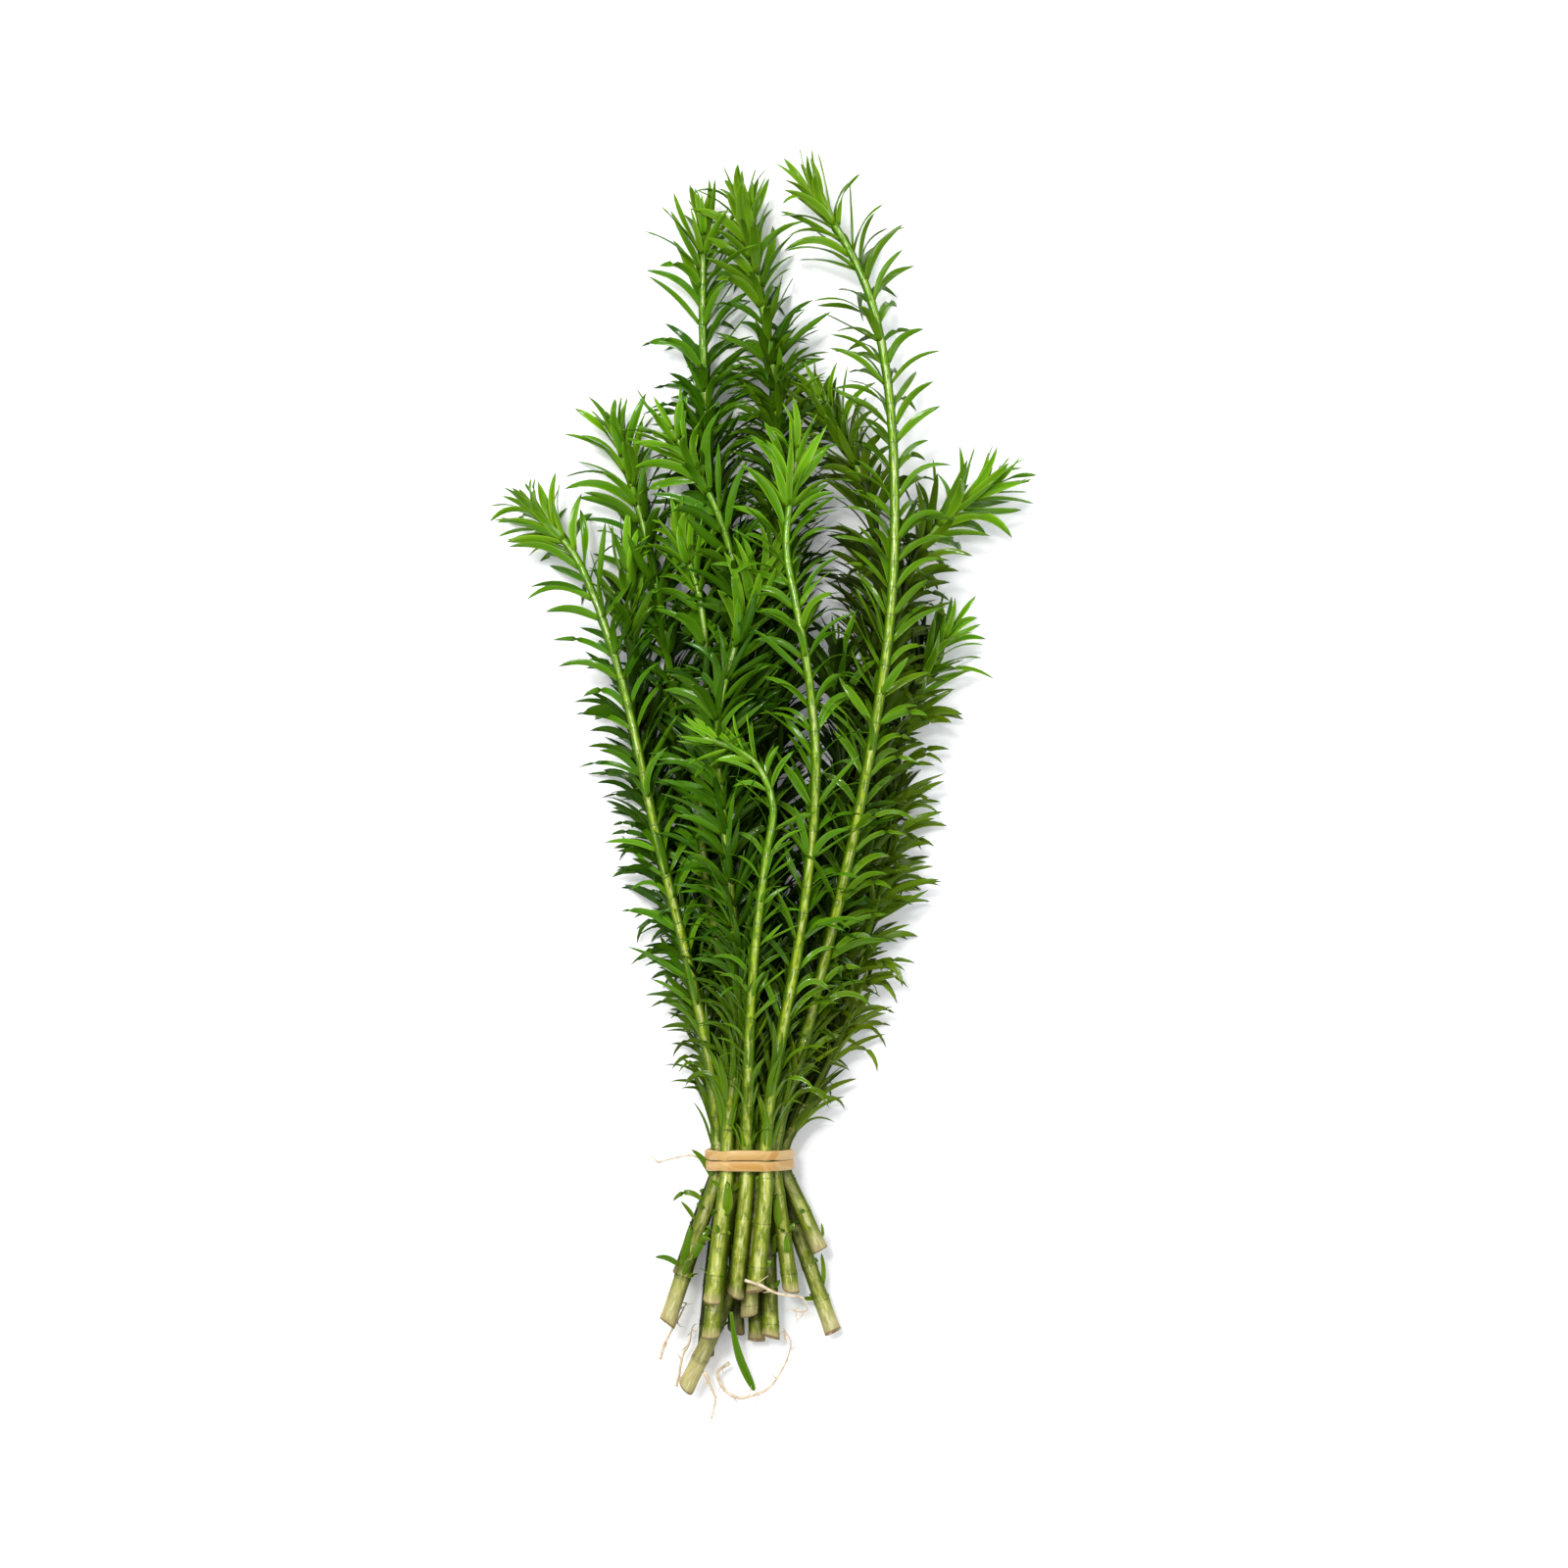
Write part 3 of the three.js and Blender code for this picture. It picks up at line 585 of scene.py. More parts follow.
# %% [markdown]
# ## How a leaf grows
# Each leaf is one bent blade. It leaves the stem at a slant, arches outward and droops a little. The
# youngest point straight ahead and make the tuft at the tip, and those squeezed near the tie are
# pressed along the stems. A leaf that would run through a neighbouring stem is bent aside, and none
# goes below the table. All the leaves of a cutting are worked out together, as arrays.

# %% Room between the stems
LEAF_CLEARANCE = 0.25 * MM
PUSHES, MOVE_SMOOTHINGS = 3, 2


def moves_clear(points):
    """How far each point of each leaf has to move to lie outside every stem."""
    moves = np.zeros_like(points)
    for index in np.ndindex(points.shape[:2]):
        if index[1] < 2:
            continue
        spot, found, gap = all_stems.find(points[index])
        need = sizes[found] + LEAF_CLEARANCE
        if gap < need:
            away = points[index] - np.array(spot)
            moves[index] = away * ((need - gap) / max(gap, 0.05 * MM))
    return moves


def step(low, high, value):
    """0 below low, 1 above high, and a smooth step from one to the other."""
    share = np.clip((value - low) / (high - low), 0, 1)
    return share * share * (3 - 2 * share)


print("leaves will keep clear of", len(spots), "places on the stems")

# %% [markdown]
# ## The shape of a blade
# A blade is a closed sliver with six corners round it: two edges, a groove along the middle of the
# upper face with a low ridge on each side, and a keel below. It is narrow where it joins, widest a
# little before its middle, and pointed. The edges are marked sharp, so that the two faces of so thin
# a thing are shaded as two faces.

# %% Blades
STATIONS = 9
SECTION = np.array([(-1, 0.06), (-0.5, 0.12), (0, -0.02), (0.5, 0.12), (1, 0.06), (0, -0.2)])
SECTION_WIDTH = np.array([-1, -0.5, 0, 0.5, 1, 0])
EDGES = (0, 4)
KEEL = 5
# a leaf that sinks begins to level off at this height over the table
LEVELS_FROM = 1.2 * MM


def blade_width(share):
    """The half-width of a blade along its length, as a share of the widest."""
    return (0.58 + 0.42 * np.sin(np.pi / 2 * np.minimum(share / 0.4, 1))) * (1 - share**3.8) ** 0.8


def leaf_lines(leaf):
    """The centreline of every leaf: leaves x stations x 3."""
    share = np.linspace(0, 1, STATIONS + 1)
    point = leaf["base"].copy()
    points = [point.copy()]
    for k in range(STATIONS):
        bend = step(0, 1, share[k])
        slant = leaf["slant"] + (leaf["open"] - leaf["slant"]) * bend
        ahead = leaf["along"] * np.cos(slant)[:, None] + leaf["outward"] * np.sin(slant)[:, None]
        ahead += leaf["tangent"] * (leaf["sideways"] * share[k])[:, None]
        ahead[:, 2] -= leaf["droop"] * share[k]
        low = np.clip(1 - (point[:, 2] - LEAF_GAP) / LEVELS_FROM, 0, 1)
        ahead[:, 2] = np.where(ahead[:, 2] < 0, ahead[:, 2] * (1 - low), ahead[:, 2])
        point = point + unit(ahead) * (leaf["length"] / STATIONS)[:, None]
        points.append(point.copy())
    points = np.stack(points, axis=1)
    for _ in range(PUSHES):
        moves = moves_clear(points)
        for _ in range(MOVE_SMOOTHINGS):
            moves[:, 1:-1] = (moves[:, :-2] + 2 * moves[:, 1:-1] + moves[:, 2:]) / 4
        points[:, 2:] += moves[:, 2:]
    keep_above(points, LINE_GAP)
    return points


def build_leaves(name, leaf, finish, replaced):
    """One piece that holds all the blades that leaf describes."""
    centre = leaf_lines(leaf)
    count = len(centre)
    ahead = unit(np.gradient(centre, axis=1))
    share = np.linspace(0, 1, STATIONS + 1)
    level = unit(np.cross(ahead, (0.0, 0.0, 1.0)) + 1e-6)
    facing = np.sign((level * leaf["tangent"][:, None]).sum(-1, keepdims=True))
    lay = leaf["lay"][:, None, None]
    wide = unit(leaf["tangent"][:, None] * (1 - lay) + level * np.where(facing == 0, 1, facing) * lay)
    wide = unit(wide - ahead * (wide * ahead).sum(-1, keepdims=True))
    thick = np.cross(wide, ahead)
    thick *= np.where((thick[:, :1] * leaf["along"][:, None]).sum(-1, keepdims=True) < 0, -1, 1)
    turn = (leaf["twist"][:, None] * share)[..., None]
    wide, thick = wide * np.cos(turn) + thick * np.sin(turn), thick * np.cos(turn) - wide * np.sin(turn)
    half = leaf["width"][:, None] / 2 * blade_width(share[:-1])
    slim = np.interp(share[:-1], [0, 0.1, 0.8, 1], [1.3, 1.1, 1.0, 0.7]) * MM
    spread = half[..., None] * SECTION[:, 0]
    rise = (leaf["width"][:, None] / (1.7 * MM) * slim)[..., None] * SECTION[:, 1]
    body = centre[:, :-1, None] + wide[:, :-1, None] * spread[..., None]
    body += thick[:, :-1, None] * rise[..., None]
    sides = len(SECTION)
    each = STATIONS * sides + 1
    places = np.concatenate([body.reshape(count, -1, 3), centre[:, -1:]], axis=1)
    keep_above(places, LEAF_GAP)
    # every leaf has the same faces, each leaf's corners coming after the last one's
    grid = np.arange(STATIONS * sides).reshape(STATIONS, sides)
    offsets = np.arange(count)[:, None, None] * each
    faces = []
    for block in (np.array(tube(grid, caps=False)), fan(grid[-1], each - 1), grid[:1, ::-1]):
        faces += (block + offsets).reshape(-1, block.shape[1]).tolist()
    numbers, column = blade_numbers(share[:-1], leaf)
    leaf_of = np.repeat(np.arange(count), each)
    sharp = np.where(np.isin(column, EDGES), leaf_of * sides + column, -1)
    corner_map = leaf_map(count, sides)
    return make_piece(
        name, places.reshape(-1, 3), faces, finish, replaced, numbers, sharp, corner_map
    )


def blade_numbers(share, leaf):
    """The numbers that the leaf finish reads, and where each corner lies in the section."""
    count, sides = len(leaf["luck"]), len(SECTION)
    column = np.tile(np.append(np.tile(np.arange(sides), len(share)), -1), count)
    each = len(column) // count
    numbers = {label: np.repeat(leaf[label], each) for label in ("tone", "olive", "buried")}
    numbers["underside"] = (column == KEEL).astype(float)
    across = np.tile(np.append(np.tile(SECTION_WIDTH, len(share)), 0.0), count)
    lengthwise = np.tile(np.append(np.repeat(share, sides), 1.0), count)
    numbers["blade"] = columns(across, lengthwise, np.repeat(leaf["luck"], each))
    return numbers, column


def leaf_map(count, sides):
    """A flat map for baking: each leaf is unrolled into its own cell of a grid."""
    rows = math.ceil(math.sqrt(count / 3))
    in_row = math.ceil(count / rows)
    low = np.array([(k % in_row, k // in_row) for k in range(count)], float)
    size = np.array([1 / in_row, 1 / rows])
    across = np.arange(sides + 1) / sides * 0.9 + 0.05
    length = np.linspace(0.12, 0.95, STATIONS)
    quads = [
        (across[side + right], length[k + up])
        for k in range(STATIONS - 1)
        for side in range(sides)
        for right, up in [(0, 0), (1, 0), (1, 1), (0, 1)]
    ]
    ends = [(0, 0.95), (1, 0.95), (0.5, 0.985)]
    fans = [(across[side] + x * (across[1] - across[0]), y) for side in range(sides) for x, y in ends]
    turn = angles_round(sides)[::-1]
    root = np.stack([0.5 + 0.3 * np.cos(turn), 0.06 + 0.04 * np.sin(turn)], axis=-1)
    blocks = [np.array(quads), np.array(fans), root]
    cells = [((low[:, None] + block[None]) * size).reshape(-1, 2) for block in blocks]
    return np.concatenate(cells)


print("a blade has", STATIONS * len(SECTION) + 1, "corners")

# %% [markdown]
# ## The leaves of the bunch
# A ring has five leaves at the tip and eight below it. Lower down, the cuttings on top keep about ten
# and the hidden ones more, because leaves of other rings are pushed in among theirs. On the side that
# faces up, most of the lower leaves were combed aside when the bunch was tied, which is why the stems
# show.

# %% Leaves
LEAF_LENGTH = 12.8 * MM
LEAF_WIDTH = 1.55 * MM
SMALLER = {"08": 0.64}
# how many leaves a ring has at the tip, below it and low down: fewer on top, more beside wide gaps
AT_TIP, BELOW_TIP, LOW_DOWN = 5, 8, 20
NUMBER = {"05": 9, "01": 10, "06": 10, "08": 10, "11": 10}
NUMBER |= {"02": 30, "12": 28, "14": 26, "09": 26, "03": 26}
# the shares of the leaves that are missing, stick straight out, or are bent over
LOST, SPLAYED, BENT_OVER = 0.1, 0.16, 0.35
OUTER_THINNED = 0.36
OLIVE = {"07": 0.6, "09": 0.6, "15": 0.7, "01": 0.25, "02": 0.15}
TIP_OLIVE = {"01": 0.45, "02": 0.3, "03": 0.3, "05": 0.25, "09": 0.3}
BRIGHT = {"06": 0.25, "08": 0.25, "01": 0.25, "07": 0.1, "05": 0.12}
ON_TOP = {"01", "05", "06", "08", "11"}
# how far the middle of the bunch goes to the right on its way up, as a share of the way
LEAN = 0.09
# how far out in its stem a leaf begins, as a share of the stem's radius
JOINS_AT = 0.86


def drift(points, seed):
    """A slow, smooth wander over the bunch, from -1 to 1, so that neighbours bend alike."""
    x, y, z = (points / (11 * MM)).T
    waves = np.sin(x * 1.3 + y + seed) + np.sin(y * 1.7 - z * 2 + seed * 2) + np.sin(z * 3 + x * 2.1)
    return waves / 3


def where_joined(line, distance, angle):
    """The stem's middle where leaves join it, and each leaf's base and directions there."""
    middle, side, up, along = line.frame_at(distance)
    outward = side * np.cos(angle)[:, None] + up * np.sin(angle)[:, None]
    base = middle + outward * (line.at(line.radius, distance) * JOINS_AT)[:, None]
    tangent = np.cross(along, outward)
    return middle, {"base": base, "outward": outward, "along": along, "tangent": tangent}


def leaves_of(name, line, order):
    """What each leaf of a cutting is given: where it joins, its directions, bends and sizes."""
    rows = []
    for ring in line.rings[line.rings >= line.tied_at + 1.6 * MM]:
        number = AT_TIP if line.length - ring < 6 * MM else BELOW_TIP
        if line.length - ring > 30 * MM:
            number = NUMBER.get(name, LOW_DOWN)
        start = chance.uniform(0, 2 * math.pi)
        for k in range(number):
            joins_at = ring + chance.normal(0, 0.2) * MM
            rows.append((joins_at, start + 2 * math.pi * k / number + chance.normal(0, 0.2)))
    distance, angle = np.array(rows).T
    middle, joined = where_joined(line, distance, angle)
    outward = joined["outward"]
    radius = line.at(line.radius, distance)
    from_tip = (line.length - distance) / MM
    from_tie = (distance - line.tied_at) / MM
    count = len(distance)
    young = 1 - step(0, 26, from_tip)
    pinched = 1 - step(6, 40, from_tie)
    splayed = (chance.random(count) < SPLAYED) & (np.abs(outward[:, 2]) < 0.6)
    comb = np.where(from_tie < 22, 0.35, 0.88 if name in ON_TOP else 0.14)
    bare_from = 4 if name in SMALLER else 14
    combed = (outward[:, 2] > 0.45) & (from_tip > bare_from) & (chance.random(count) < comb)
    lost = chance.random(count) < LOST
    # where a leaf has the open side of the bunch before it, it spreads; inside it points up the stems
    off_middle = middle[:, 0] - tie.x - LEAN * (middle[:, 1] - tie.y)
    aside = np.sign(off_middle) * outward[:, 0]
    free = np.clip(0.25 + 0.9 * aside + step(75, 120, from_tie), 0, 1)
    # the outermost leaves stand apart, lie flat, and are broader than the ones packed inside
    far_out = np.abs(off_middle) > 9 * MM * (1 - 0.6 * pinched)
    outermost = (free > 0.8) & (from_tip > 12) & far_out
    thinned = outermost & (chance.random(count) < OUTER_THINNED)
    probe = middle + outward * (radius + 0.8 * MM)[:, None]
    crowded = np.array([sizes[hit] > gap for _, hit, gap in (all_stems.find(p) for p in probe)])
    keep = ~(combed | lost | crowded | thinned)
    wander = drift(middle, order)
    slant = np.interp(from_tip, [0, 4, 10, 25], [9, 22, 32, 37]) + chance.normal(0, 9, count)
    opened = np.interp(from_tip, [0, 4, 10, 30], [24, 46, 64, 92]) + chance.normal(0, 23, count)
    opened = opened * (0.6 + 0.4 * free) + 18 * wander
    # just above the tie, some of the outer leaves have been bent right over
    low_down = (from_tie < 45) & (from_tie > 9)
    bent_over = (free > 0.6) & low_down & (chance.random(count) < BENT_OVER)
    slant = np.radians(slant * (1 - 0.75 * pinched))
    opened = np.where(splayed, 95, opened * (1 - 0.62 * pinched))
    opened = np.radians(np.where(bent_over, chance.uniform(95, 160, count), opened))
    length = LEAF_LENGTH * np.interp(from_tip, [0, 3, 9, 40, 120], [0.62, 0.86, 1.04, 1.0, 0.96])
    width = LEAF_WIDTH * np.interp(from_tip, [0, 5, 20, 45], [0.85, 1.05, 0.95, 0.74])
    width = width * (1 - 0.3 * pinched) * np.where(outermost, 1.12, 1)
    loose = step(80, 140, from_tie)
    sunk = depth_below_top(middle + outward * 3 * MM) / MM
    # how much painted shade a leaf gets, from its depth in the bunch; less where it stands free
    shade_share = np.clip((sunk - 1.0) / 5.0, 0, 1) * (1 - 0.5 * free * step(-1, 1, from_tip - 10))
    old_olive = OLIVE.get(name, 0) * (1 - young) + TIP_OLIVE.get(name, 0) * young
    old_olive = old_olive + 0.5 * (1 - step(14, 45, from_tie))
    leaf = joined | {
        "slant": slant,
        "open": opened,
        "length": length * chance.uniform(0.72, 1.1, count) * SMALLER.get(name, 1),
        "width": width * chance.uniform(0.7, 1.2, count) * SMALLER.get(name, 1),
        "sideways": chance.normal(0, 0.42, count) + 0.25 * drift(middle, order + 5),
        "droop": 0.05 + 0.3 * chance.random(count) * (1 - loose),
        "twist": chance.normal(0, 1.0, count) * np.where(outermost, 0.45, 1),
        "lay": np.where(
            outermost, 0.7, np.clip(0.4 - 0.3 * loose + chance.normal(0, 0.3, count), 0, 0.95)
        ),
        "luck": chance.random(count),
        "tone": np.clip(0.8 * young + BRIGHT.get(name, 0) + chance.normal(0.1, 0.12, count), 0, 1),
        "olive": np.clip(old_olive + chance.normal(0.03, 0.1, count), 0, 1),
        "buried": shade_share * (0.62 + 0.38 * chance.random(count)),
    }
    return {key: values[keep] for key, values in leaf.items()}


leafy = []
for order, (name, line) in enumerate(stems.items()):
    leaf = leaves_of(name, line, order)
    leafy.append(
        build_leaves(f"leaves_{name}_grown", leaf, leaf_finish, [f"leaves_{name}"])
    )
    print("cutting", name, "has", len(leaf["length"]), "leaves")
print("all leaves have", sum(len(piece.data.polygons) for piece in leafy), "faces")

# %% [markdown]
# ## Torn leaves on the bare ends
# The leaves below the tie were stripped by hand, and torn stubs are left at their rings, with a
# whole small leaf here and there, most of them on the two outermost stems.


# %% Torn leaves
STUBS_LEFT = 0.32
# the share of the stubs that are whole small leaves, and from what length one counts as whole, in mm
USUAL_WHOLE, TORN_WHOLE, WHOLE_FROM = 0.05, {"05": 0.16, "15": 0.1}, 2.5
# leaves left whole: cutting, mm below the tie, angle round the stem, slant at its base and at its end
# in degrees, length and width in mm
LEFT_WHOLE = [
    ("05", 3.4, 180, 35, 70, 6.2, 1.3),
    ("05", 8.5, 185, 70, 165, 6.6, 1.1),
    ("05", 12.5, 175, 50, 65, 4.6, 0.8),
    ("05", 21.5, 180, 70, 115, 5.0, 1.1),
    ("05", 21.0, 120, 5, 12, 8.0, 1.9),
    ("05", 19.5, 60, 8, 5, 7.0, 1.6),
    ("07", 26.0, 0, 22, 8, 6.0, 0.9),
    ("07", 28.0, 180, 60, 90, 2.2, 1.0),
    ("15", 17.0, 0, 30, 10, 2.8, 0.6),
    ("10", 10.0, 60, 4, 3, 6.5, 1.9),
    ("01", 13.0, 110, 6, 4, 7.0, 1.5),
    ("01", 18.0, 80, 12, 8, 4.0, 1.2),
]


def torn(line, distance, angle, slant, opened, length, width):
    """What each torn leaf of a stem is given. The angles are in degrees."""
    count = len(distance)
    _, joined = where_joined(line, distance, np.radians(angle))
    return joined | {
        "slant": np.radians(slant),
        "open": np.radians(opened),
        "length": length * MM,
        "width": width * MM,
        "sideways": chance.normal(0, 0.2, count),
        "droop": np.full(count, 0.2),
        "twist": chance.normal(0, 0.8, count) * np.where(length > WHOLE_FROM, 0.4, 1),
        "lay": np.where(length > WHOLE_FROM, 0.9, chance.uniform(0, 0.8, count)),
        "luck": chance.random(count),
        "tone": chance.uniform(0.0, 0.3, count),
        "olive": chance.uniform(0.3, 0.9, count),
        "buried": np.zeros(count),
    }


def stubs_of(name, line):
    """What is left of the leaves at a stem's rings below the tie."""
    rings = line.rings[(line.rings < line.tied_at - 3 * MM) & (line.rings > 4 * MM)]
    around = np.tile(np.arange(8) * 45.0, len(rings)) + np.repeat(np.arange(len(rings)), 8) * 57.3
    keep = chance.random(len(around)) < STUBS_LEFT
    distance, around = np.repeat(rings, 8)[keep], around[keep]
    count = len(distance)
    whole = chance.random(count) < TORN_WHOLE.get(name, USUAL_WHOLE)
    room = np.maximum((line.tied_at - distance) / MM - 2.4, 0.9)
    length = np.where(whole, chance.uniform(3, 8.5, count), chance.uniform(0.9, 2.4, count))
    slant, opened = chance.uniform(10, 45, count), chance.uniform(30, 120, count)
    width = np.where(whole, 1.1, 0.9)
    return torn(line, distance, around, slant, opened, np.minimum(length, room), width)


stubs = [stubs_of(name, line) for name, line in stems.items()]
for name, below, *rest in LEFT_WHOLE:
    given = [np.array([float(value)]) for value in rest]
    stubs.append(torn(stems[name], np.array([stems[name].tied_at - below * MM]), *given))
stubs = {key: np.concatenate([one[key] for one in stubs]) for key in stubs[0]}
build_leaves("torn_leaves", stubs, leaf_finish, [])
print("left", len(stubs["length"]), "torn leaves on the bare ends")

# %% [markdown]
# ## The rubber band
# A tan band of natural rubber, stretched round the stems twice. Its two turns lie side by side over
# the front and change places underneath. It follows the outermost stems, so its path is the outline
# that a taut string would take round them: in each direction, the stem that reaches furthest out.

# %% Band finish
band_finish = Finish("tan_rubber", Roughness=0.42, Subsurface_Weight=0.12, Subsurface_Scale=0.6 * MM)
wrap = band_finish.attribute("wrap", "Vector")
mottle = wrap.noise(0.9, 3.0, stretch=(0.4, 0.7, 0.7))
grain = wrap.noise(2.0, 3.0, stretch=(0.3, 9.0, 9.0))
specks = wrap.noise(14.0, 2.0).between(0.62, 0.72)
worn = band_finish.attribute("worn_edge")
tan = mottle.between(0.35, 0.65).mix((0.46, 0.235, 0.042), (0.55, 0.36, 0.130))
tan = (worn * 0.4).mix(tan, (0.66, 0.50, 0.24))
tan = (specks * 0.35).mix(tan, (0.30, 0.16, 0.04))
band_finish.set(
    Base_Color=tan.dim(grain * 0.35 + 0.83),
    Roughness=grain * 0.2 + 0.3,
    Normal=grain.bump(0.05 * MM, 0.5),
)
print("the band finish has", len(band_finish.tree.nodes), "nodes")

# %% Band
BAND_WIDTH = 1.84 * MM
BAND_THICKNESS = 1.0 * MM
BAND_GRIP = 0.22 * MM
BAND_TILT = 0.05
TURN_GAP = 0.11 * MM
CROSSING = -1.8
BAND_STATIONS = 420
BAND_SECTION = 16
PATH_SMOOTHINGS = 80
# how much the folds and the crossing stand out, and how square the band's section is
CLIMB_GAP = 0.12 * MM
FOLD_AT, FOLD_SPREAD, FOLD_ASIDE, FOLD_LIFT = math.pi * 0.52, 0.22, 0.12 * MM, 0.22 * MM
SQUARENESS = 0.45


def band_path():
    """The outline that a taut band takes twice round the stems, by the direction it faces."""
    slots = [line.at(line.points, np.array([line.tied_at]))[0] for line in stems.values()]
    hug = [line.at(line.radius, line.tied_at) for line in stems.values()]
    wound = np.arange(BAND_STATIONS) * 4 * math.pi / BAND_STATIONS
    outward = np.stack([np.cos(wound), np.zeros(BAND_STATIONS), np.sin(wound)], axis=1)
    reach = np.array([[slot @ out + size for slot, size in zip(slots, hug)] for out in outward])
    middle = np.mean(slots, axis=0)
    path = np.array([slots[k] + out * hug[k] for k, out in zip(reach.argmax(1), outward)])
    path[:, 1] = middle[1]
    return path


path = band_path()
steps = np.linalg.norm(np.diff(path, axis=0, append=path[:1]), axis=1)
gone = np.concatenate([[0], np.cumsum(steps)])
even = np.linspace(0, gone[-1], BAND_STATIONS, endpoint=False)
path = np.column_stack([np.interp(even, gone, np.append(path[:, k], path[0, k])) for k in range(3)])
for _ in range(PATH_SMOOTHINGS):
    path = (np.roll(path, 1, 0) + 2 * path + np.roll(path, -1, 0)) / 4
ahead = np.roll(path, -1, 0) - np.roll(path, 1, 0)
outward = unit(np.stack([ahead[:, 2], np.zeros(BAND_STATIONS), -ahead[:, 0]], axis=1))
wound = np.unwrap(np.arctan2(outward[:, 2], outward[:, 0]))
phase = wound / 2 - (CROSSING - math.pi) / 2
swing = np.clip(np.cos(phase) * 5, -1, 1)
swing = np.sin(swing * math.pi / 2)
climbed = np.where(np.sin(phase) > 0, 1 - step(0.2, 0.45, np.abs(np.cos(phase))), 0)
# at the front the turn nearer the tips rides up on a fold of its own
front = np.exp(-(((wound % (2 * math.pi)) - FOLD_AT) / FOLD_SPREAD) ** 2) * (swing > 0)
aside = swing * (BAND_WIDTH + TURN_GAP) / 2 + front * FOLD_ASIDE
lift = BAND_GRIP + climbed * (BAND_THICKNESS + CLIMB_GAP) + front * FOLD_LIFT
waver = 0.05 * MM * np.sin(wound * 3.5 + 1) + 0.03 * MM * np.sin(wound * 9)
turn = angles_round(BAND_SECTION)
flat_side = np.sign(np.sin(turn)) * np.abs(np.sin(turn)) ** SQUARENESS
flat_out = np.sign(np.cos(turn)) * np.abs(np.cos(turn)) ** SQUARENESS
wide = (BAND_WIDTH / 2 * (1 + 0.04 * np.sin(wound * 5)))[:, None] * flat_side
crown = 1 + 0.1 * (1 - flat_side**2) * (flat_out > 0)
out = BAND_THICKNESS / 2 * (1 + flat_out * crown)
places = path[:, None] + outward[:, None] * (lift[:, None] + out)[..., None]
tilt = BAND_TILT * (places[..., 2].max() - places[..., 2])
places[..., 1] += (aside + waver)[:, None] - wide - tilt
rings = np.arange(BAND_STATIONS * BAND_SECTION).reshape(BAND_STATIONS, BAND_SECTION)
faces = tube(np.vstack([rings, rings[:1]]), caps=False)
keep_above(places, BAND_GAP)
numbers = {
    "wrap": columns(
        np.repeat(np.cos(wound / 2) * 12, BAND_SECTION),
        np.tile(flat_side, BAND_STATIONS) + np.repeat(np.sin(wound / 2) * 12, BAND_SECTION),
        np.tile(flat_out, BAND_STATIONS),
    ),
    "worn_edge": np.tile((np.abs(flat_side) > 0.85) & (flat_out > 0.3), BAND_STATIONS).astype(float),
}
make_piece("wound_band", places.reshape(-1, 3), faces, band_finish, ["rubber_band"], numbers)
print("the band is", round(gone[-1] / MM), "mm long, stretched")

# %% [markdown]
# ## Roots
# A few thin, pale roots have grown from the cut ends. A root is a fine thread that wanders, thins
# towards its end and has short hairs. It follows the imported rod's centreline, with a small wander
# added, and its hairs are thinner threads that branch off it.

# %% Root finish
root_finish = Finish("pale_root", Roughness=0.5, Subsurface_Weight=0.1, Subsurface_Scale=0.3 * MM)
thread = root_finish.attribute("thread", "Vector")
patchy = thread.noise(0.7, 4.0)
cells = thread.noise(6.0, 2.0)
pale = patchy.between(0.35, 0.65).mix((0.72, 0.61, 0.45), (0.50, 0.37, 0.22))
root_finish.set(
    Base_Color=pale.dim(cells * 0.4 + 0.8),
    Roughness=cells * 0.3 + 0.35,
    Normal=cells.bump(0.04 * MM, 0.6),
)
print("the root finish has", len(root_finish.tree.nodes), "nodes")

# %% Roots
ROOT_SIDES = 8
HAIR_GAP, HAIR_LOWEST = 3.2, 0.12 * MM
HAIR_SIZES = np.array([0.14, 0.1, 0.05]) * MM


def thread_parts(points, radii, first, seed):
    """The corners, faces and numbers of one thread, whose corners are counted from first."""
    line = Line(points, radii, 0.5 * MM)
    count = len(line.points)
    angle = angles_round(ROOT_SIDES)
    round_it = line.across[:, None] * np.cos(angle)[:, None] + line.up[:, None] * np.sin(angle)[:, None]
    knots = 1 + 0.14 * np.sin(line.distance / MM * 1.9 + seed) * np.sin(line.distance / MM * 0.7)
    places = line.points[:, None] + round_it * (line.radius * knots)[:, None, None]
    keep_above(places, ROD_GAP)
    corners = first + np.arange(count * ROOT_SIDES).reshape(count, ROOT_SIDES)
    numbers = round_and_along(angle, line.distance / MM + seed * 7)
    return places.reshape(-1, 3), tube(corners), numbers


